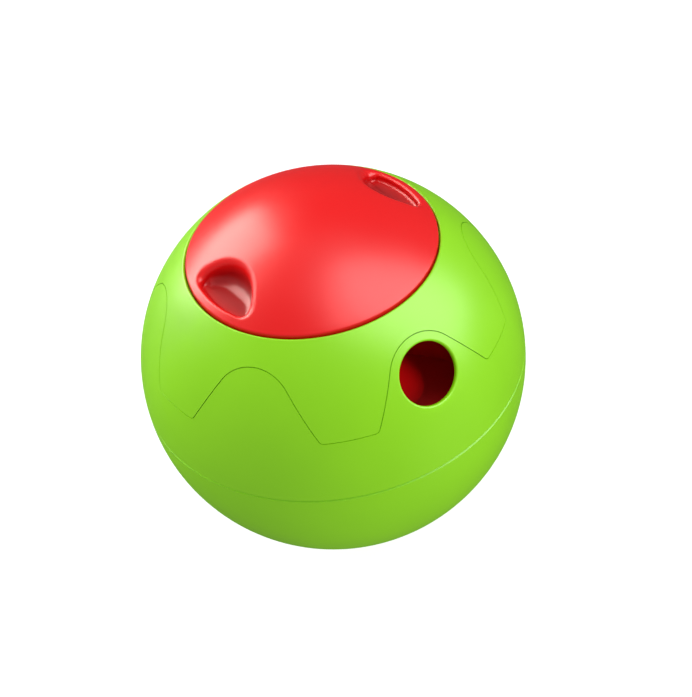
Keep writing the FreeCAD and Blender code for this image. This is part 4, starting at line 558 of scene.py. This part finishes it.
# the inside of the lid: rows over the inner dome to a recess's back, down its back and in over its floor
def lidUnderside(shell, look, recess, rim):
    onRim, around = rim["onRim"], rim["around"]
    underEnds = rim["ends"] * (look["rimIn"] / rim["reach"])
    underEnds[onRim] = np.stack([look["rimIn"] * np.cos(around), look["rimIn"] * np.sin(around)], -1)
    underEnds[np.flatnonzero(onRim)[[0, -1]], 0] = 0.0
    back = recess["wall"] + look["wallBehind"] * recess["side"]
    share = np.linspace(0, 1, look["underSteps"])[:, None, None]
    plan = underEnds * (1 - share) + back * share
    height = domeHeight(plan, look["ballR"] - look["wall"])
    drop = np.zeros(len(back))
    drop[onRim] = rim["nearBack"]
    height = height + (look["under"] - height) * drop
    rows = [lifted(plan, height), lifted(back, look["under"])[None]]
    middle = np.array([look["floorX"], 0.0])
    rows.append(lifted((back * 0.5 + middle * 0.5)[None], look["under"]))
    under = np.concatenate(rows)
    n = len(back)
    points = np.concatenate([under.reshape(-1, 3), [[*middle, look["under"]]]])
    faces = gridFaces(len(under), n, True, True), fanFaces(len(under) - 1, n, len(under) * n, True)
    for turn in (False, True):
        shell.add(points, *faces, turn)


# the skirt: a ring with softened lower edges, whose root ends inside the dome or a recess's back
def lidSkirt(shell, look):
    a = np.radians(np.arange(0, 360, look["skirtEvery"]))
    inner, outer, soft = look["skirtIn"], look["skirtOut"], look["skirtSoft"]
    spot = np.array([inner, outer])[:, None, None] * np.stack([np.cos(a), np.sin(a)], -1)
    root = domeHeight(spot, look["ballR"] - look["wall"]) + look["sink"]
    toArch = np.hypot(np.abs(spot[..., 0]) - look["archX"], spot[..., 1])
    root = np.where(toArch < look["archR"] + look["pocketReach"], look["under"] + look["pocketSink"], root)
    low = np.full(len(a), look["skirtLow"])
    heights = np.stack([root[0], low + soft, low, low, low + soft, root[1]])
    points = carried([inner, inner, inner + soft, outer - soft, outer, outer], heights, a)
    points = np.concatenate([points, points[:1]])
    shell.add(points, gridFaces(len(points), len(a), True))


# a lug: a section with two softened corners, carried along its arc and closed at both ends by fans
def lidLug(shell, look, middleAngle):
    half, c = look["lugSpan"] / 2, look["lugSoft"]
    a = np.radians(middleAngle + np.linspace(-half, half, look["lugSteps"]))
    r0, r1, z0, z1 = look["skirtOut"] - look["lugRoot"], look["lugR"], look["skirtLow"], look["lugHigh"]
    section = np.array([
        (r0, z0), (r1 - c, z0), (r1, z0 + c), (r1, z1 - c), (r1 - c, z1), (r0, z1), (r0, z0)])
    points = carried(section[:, 0], section[:, 1:], a)
    ring = np.arange(len(section) - 1) * len(a)
    firstEnd = np.stack([np.zeros(len(ring) - 2, int), ring[1:-1], ring[2:]], -1)
    lastEnd = (firstEnd + len(a) - 1)[:, ::-1]
    shell.add(points, gridFaces(len(section), len(a), False), np.concatenate([firstEnd, lastEnd]))


# the boss: a post from inside the dome with a blind bore, as a profile carried round the axis
def lidBoss(shell, look):
    a = np.radians(np.arange(0, 360, look["bossEvery"]))
    r, bore, low, soft = look["bossR"], look["boreR"], look["bossLow"], look["bossSoft"]
    top = np.sqrt((look["ballR"] - look["wall"]) ** 2 - r ** 2) + look["sink"]
    mouth, end = look["boreSoft"], low + look["boreDeep"]
    profile = np.array([
        (hair, top), (r, top), (r, low + soft), (r - soft, low),
        (bore + mouth, low), (bore, low + mouth), (bore, end), (hair, end)])
    shell.add(carried(profile[:, 0], profile[:, 1:], a), gridFaces(len(profile), len(a), True, True))


def lidShape(look):
    shell = Shell()
    recess = recessForm(look)
    rim = rimForm(look, recess)
    lidTop(shell, look, recess, rim["ends"])
    lidSide(shell, look, rim)
    lidUnderside(shell, look, recess, rim)
    lidSkirt(shell, look)
    for middleAngle in look["lugs"]:
        lidLug(shell, look, middleAngle)
    lidBoss(shell, look)
    return shell


# painted shade: this depth sets how far the red of the lid darkens in its recesses, as shade would fall there
def lidDepth(points):  # how far a point lies under the dome, from 0 near it to 1 at the floor of a recess
    dome = np.sqrt(np.maximum(lid["ballR"] ** 2 - points[:, 0] ** 2 - points[:, 1] ** 2, 0))
    return step(lid["shadeFrom"], lid["shadeTo"], dome - points[:, 2])


newLid = lidShape(lid).make("lid_dome", redAbs, "lid", "red_lid", depth=lidDepth)
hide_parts("lid_cover")
print("lid modelled:", len(newLid.data.polygons), "faces")


# springs: a wire carried round a cone at a steady rate, level at both ends of the coil and climbing between.
# The wide end sits where the frame's own ring sits
spring = {"wideR": 5.5, "narrowR": 3.4, "wire": 0.9, "high": 4.2, "turns": 3,
          "flatTurns": 0.75, "perTurn": 56, "sides": 10}


def coil(look, node, up):  # up is 1 where the narrow end points up, and -1 where it points down
    corners = [(np.array(corner) - ballCentre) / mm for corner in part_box(node)]
    at = round((corners[0][0] + corners[1][0]) / 2, 1)
    foot = round((corners[0] if up > 0 else corners[1])[2], 3)
    rows, columns, wireR = look["perTurn"] * look["turns"] + 1, look["sides"], look["wire"] / 2
    t = np.linspace(0, 1, rows)[:, None]
    turn = 2 * np.pi * look["turns"] * t
    reach = look["wideR"] + (look["narrowR"] - look["wideR"]) * t - wireR
    flat = look["flatTurns"] / look["turns"]
    climb = (step(flat, 1 - flat, t) + np.clip((t - flat) / (1 - 2 * flat), 0, 1)) / 2
    height = foot + up * (wireR + (look["high"] - look["wire"]) * climb)
    around = np.linspace(0, 2 * np.pi, columns, endpoint=False)[None, :]
    out = reach + wireR * np.cos(around)
    points = np.stack([at + out * np.cos(turn), out * np.sin(turn), height + wireR * np.sin(around) * up], -1)
    middles = np.concatenate([at + reach * np.cos(turn), reach * np.sin(turn), height], 1)[[0, -1]]
    flip = up > 0
    firstCap = fanFaces(0, columns, rows * columns, not flip)
    lastCap = fanFaces(rows - 1, columns, rows * columns + 1, flip)
    points = np.concatenate([points.reshape(-1, 3), middles])
    shell = Shell()
    shell.add(points, gridFaces(rows, columns, True, flip), np.concatenate([firstCap, lastCap]))
    return shell


doorSpring = coil(spring, "door_spring", 1).make("coiled_door_spring", springSteel, "door", "contact_steel")
topSpring = coil(spring, "top_spring", -1).make("coiled_top_spring", springSteel, "ball", "contact_steel")
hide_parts("door_spring")
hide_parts("top_spring")
print("springs wound")


# stage: a pale floor and soft studio light

def stageFloor():  # a lit table, white all over, that neither shades the ball nor shows in its shine
    look = {"half": 6.0, "paper": "909090", "glow": "FFFFFF", "own": 0.93}
    h = look["half"]
    mesh = bpy.data.meshes.new("floor")
    mesh.from_pydata([(-h, -h, 0), (h, -h, 0), (h, h, 0), (-h, h, 0)], [], [(0, 1, 2, 3)])
    floor = bpy.data.objects.new("floor", mesh)
    bpy.context.scene.collection.objects.link(floor)
    floor.visible_diffuse = False
    floor.visible_glossy = False
    floor.visible_shadow = False
    material, tree = startMaterial("white paper sweep")[:2]
    paper = addNode(tree, "ShaderNodeBsdfPrincipled", {
        "Base Color": linear(look["paper"]), "Roughness": 0.9, "Specular IOR Level": 0.0,
        "Emission Color": linear(look["glow"]), "Emission Strength": look["own"]})
    clear = addNode(tree, "ShaderNodeBsdfTransparent")
    below = addNode(tree, "ShaderNodeNewGeometry").outputs["Backfacing"]  # clear from under it
    table = addNode(tree, "ShaderNodeMixShader", None, {0: below, 1: paper.outputs[0], 2: clear.outputs[0]})
    addNode(tree, "ShaderNodeOutputMaterial", None, {"Surface": table.outputs[0]})
    mesh.materials.append(material)


# a white tent round the ball: white to the camera, dimmer behind the ball than on the camera's side where it
# lights the colour, and darker still behind it where the plastic would mirror it
def studioTent(back):
    look = {"above": 0.56, "below": 0.68, "behind": 0.42, "darkFrom": -0.8, "brightFrom": 0.3,
            "mirroredFront": 0.52, "mirroredBehind": 0.10}
    world = bpy.data.worlds.new("studio")
    bpy.context.scene.world = world
    world.use_nodes = True
    world.cycles.sampling_method = "NONE"  # each ray finds the tent by itself, so shine and colour stay apart
    tree = world.node_tree
    tree.nodes.clear()
    way = addNode(tree, "ShaderNodeTexCoord").outputs["Generated"]
    parts = addNode(tree, "ShaderNodeSeparateXYZ", None, {0: way})
    height = addNode(tree, "ShaderNodeMapRange", {
        1: -1.0, 2: 1.0, 3: look["below"], 4: look["above"]}, {0: parts.outputs[2]})
    facing = addNode(tree, "ShaderNodeVectorMath", {"operation": "DOT_PRODUCT", 1: tuple(back)}, {0: way})
    dimmed = addNode(tree, "ShaderNodeMapRange", {
        1: look["darkFrom"], 2: look["brightFrom"], 3: look["behind"], 4: 1.0}, {0: facing.outputs["Value"]})
    tent = addNode(tree, "ShaderNodeMath", {"operation": "MULTIPLY"}, {
        0: height.outputs[0], 1: dimmed.outputs[0]})
    mirrored = addNode(tree, "ShaderNodeMapRange", {
        1: look["darkFrom"], 2: look["brightFrom"], 3: look["mirroredBehind"], 4: look["mirroredFront"],
    }, {0: facing.outputs["Value"]})
    path = addNode(tree, "ShaderNodeLightPath")
    seen = addNode(tree, "ShaderNodeMix", {3: 1.0}, {0: path.outputs["Is Camera Ray"], 2: tent.outputs[0]})
    both = addNode(tree, "ShaderNodeMix", None, {
        0: path.outputs["Is Glossy Ray"], 2: seen.outputs[0], 3: mirrored.outputs[0]})
    light = addNode(tree, "ShaderNodeBackground", {"Color": linear("FFFFFF")}, {"Strength": both.outputs[0]})
    addNode(tree, "ShaderNodeOutputWorld", None, {"Surface": light.outputs[0]})
    bpy.context.scene.view_settings.view_transform = "Standard"  # plain colours, as a catalogue picture has


# the camera looks down at the ball from the left of the hole, and its roll tips the ball's axis to the left.
# Angles are in degrees and the distance in metres; the picture is 692 pixels wide
cameraLook = {"azimuth": -30.0, "elevation": 43.8, "distance": 1.0668, "roll": 11.4,
              "focalPx": 2013.0, "rightPx": 12.6, "downPx": 8.4, "widePx": 692, "sensor": 36.0}


def wayTo(azimuth, elevation):  # the direction from the ball to a camera or lamp; the hole is at azimuth 0
    a, e = np.radians(azimuth), np.radians(elevation)
    return np.array([np.sin(a) * np.cos(e), -np.cos(a) * np.cos(e), np.sin(e)])


def turnedTo(x, y, z, place):  # an object's matrix, from the ways that its own axes point
    return Matrix(np.vstack([np.column_stack([x, y, z, place]), [0, 0, 0, 1]]).tolist())


def unit(way):
    return way / np.linalg.norm(way)


def placeCamera(look):  # gives the ways that are right, up and back as the camera sees the ball
    back = wayTo(look["azimuth"], look["elevation"])
    level = unit(np.array([0, 0, 1.0]) - back * back[2])  # up, square to the view
    side = np.cross(-back, level)
    roll = np.radians(look["roll"])
    right, up = np.cos(roll) * side - np.sin(roll) * level, np.cos(roll) * level + np.sin(roll) * side
    # the aim moves by as many pixels as the ball lies away from the middle of the picture
    aim = unit(-back + right * look["rightPx"] / look["focalPx"] + up * look["downPx"] / look["focalPx"])
    x = unit(np.cross(aim, up))
    data = bpy.data.cameras.new("camera")
    data.sensor_fit = "HORIZONTAL"
    data.sensor_width = look["sensor"]
    data.lens = look["sensor"] * look["focalPx"] / look["widePx"]
    data.clip_start, data.clip_end = 0.01, 50
    camera = bpy.data.objects.new("camera", data)
    camera.matrix_world = turnedTo(x, np.cross(x, aim), -aim, ballCentre + back * look["distance"])
    bpy.context.scene.collection.objects.link(camera)
    bpy.context.scene.camera = camera
    return right, up, back


cameraAxes = placeCamera(cameraLook)

# each box faces the ball: to is where it stands and along is the way of its width, both given as right, up
# and back as the camera sees the ball, and its sizes are in metres.
# One kind lights the plastic's colour and the other makes its shine, as polarised studio light does
box = {"away": 1.2, "wide": 0.8, "high": 0.8, "along": (1, 0, 0), "colour": "FFFFFF"}


def softBox(name, use, look):
    look = {**box, **look}
    way, along = (np.array(look[key]) @ np.array(cameraAxes) for key in ("to", "along"))
    way = unit(way)
    along = unit(along - way * (along @ way))
    data = bpy.data.lights.new(name, "AREA")
    data.shape = "RECTANGLE"
    data.size, data.size_y = look["wide"], look["high"]
    data.energy = look["watts"]
    data.color = linear(look["colour"])[:3]
    light = bpy.data.objects.new(name, data)
    light.matrix_world = turnedTo(along, np.cross(way, along), way, ballCentre + way * look["away"])
    light.visible_diffuse = use == "colour"
    light.visible_glossy = use == "shine"
    light.visible_camera = False
    bpy.context.scene.collection.objects.link(light)


softBox("left_colour", "colour", {"to": (-0.85, 0.36, -0.15), "watts": 9.5})
softBox("back_left_colour", "colour", {"to": (-0.55, 0.20, -0.80), "watts": 6.3})
softBox("top_colour", "colour", {"to": (0.05, 0.73, 0.68), "watts": 5.7})
softBox("right_colour", "colour", {"to": (0.70, 0.37, 0.55), "watts": 3.2})
softBox("low_right_colour", "colour", {"to": (0.80, -0.55, 0.07), "watts": 4.6})
softBox("left_shine", "shine", {
    "to": (-0.655, 0.62, -0.05), "wide": 0.88, "high": 0.88, "watts": 29, "colour": "FFF6EC"})
softBox("right_shine", "shine", {
    "to": (0.61, 0.47, 0.63), "along": (0.90, -0.41, -0.68), "away": 1.0,
    "wide": 1.6, "high": 0.85, "watts": 27})


def snoot(look):  # a narrow lamp that shines through the hole and nowhere else
    data = bpy.data.lights.new("hole_snoot", "SPOT")
    data.energy, data.shadow_soft_size = look["watts"], look["bulb"]
    data.spot_size, data.spot_blend = 2 * np.arctan(look["reach"] / look["away"]), 1.0
    light = bpy.data.objects.new("hole_snoot", data)
    way = wayTo(look["azimuth"], look["elevation"])
    place = ballCentre + np.array(look["hole"]) * mm + way * look["away"]
    turn = Vector(way).to_track_quat("Z", "Y").to_matrix().to_4x4()
    light.matrix_world = Matrix.Translation(Vector(place)) @ turn
    light.visible_glossy = False
    bpy.context.scene.collection.objects.link(light)


# the hole is in mm about the middle of the ball, and the lamp's reach and bulb are in metres
snoot({"azimuth": -4, "elevation": 38, "away": 1.2, "hole": (0, -89.5, 48),
       "reach": 0.016, "bulb": 0.004, "watts": 48})
stageFloor()
studioTent(cameraAxes[2])
print("stage, camera and light set")
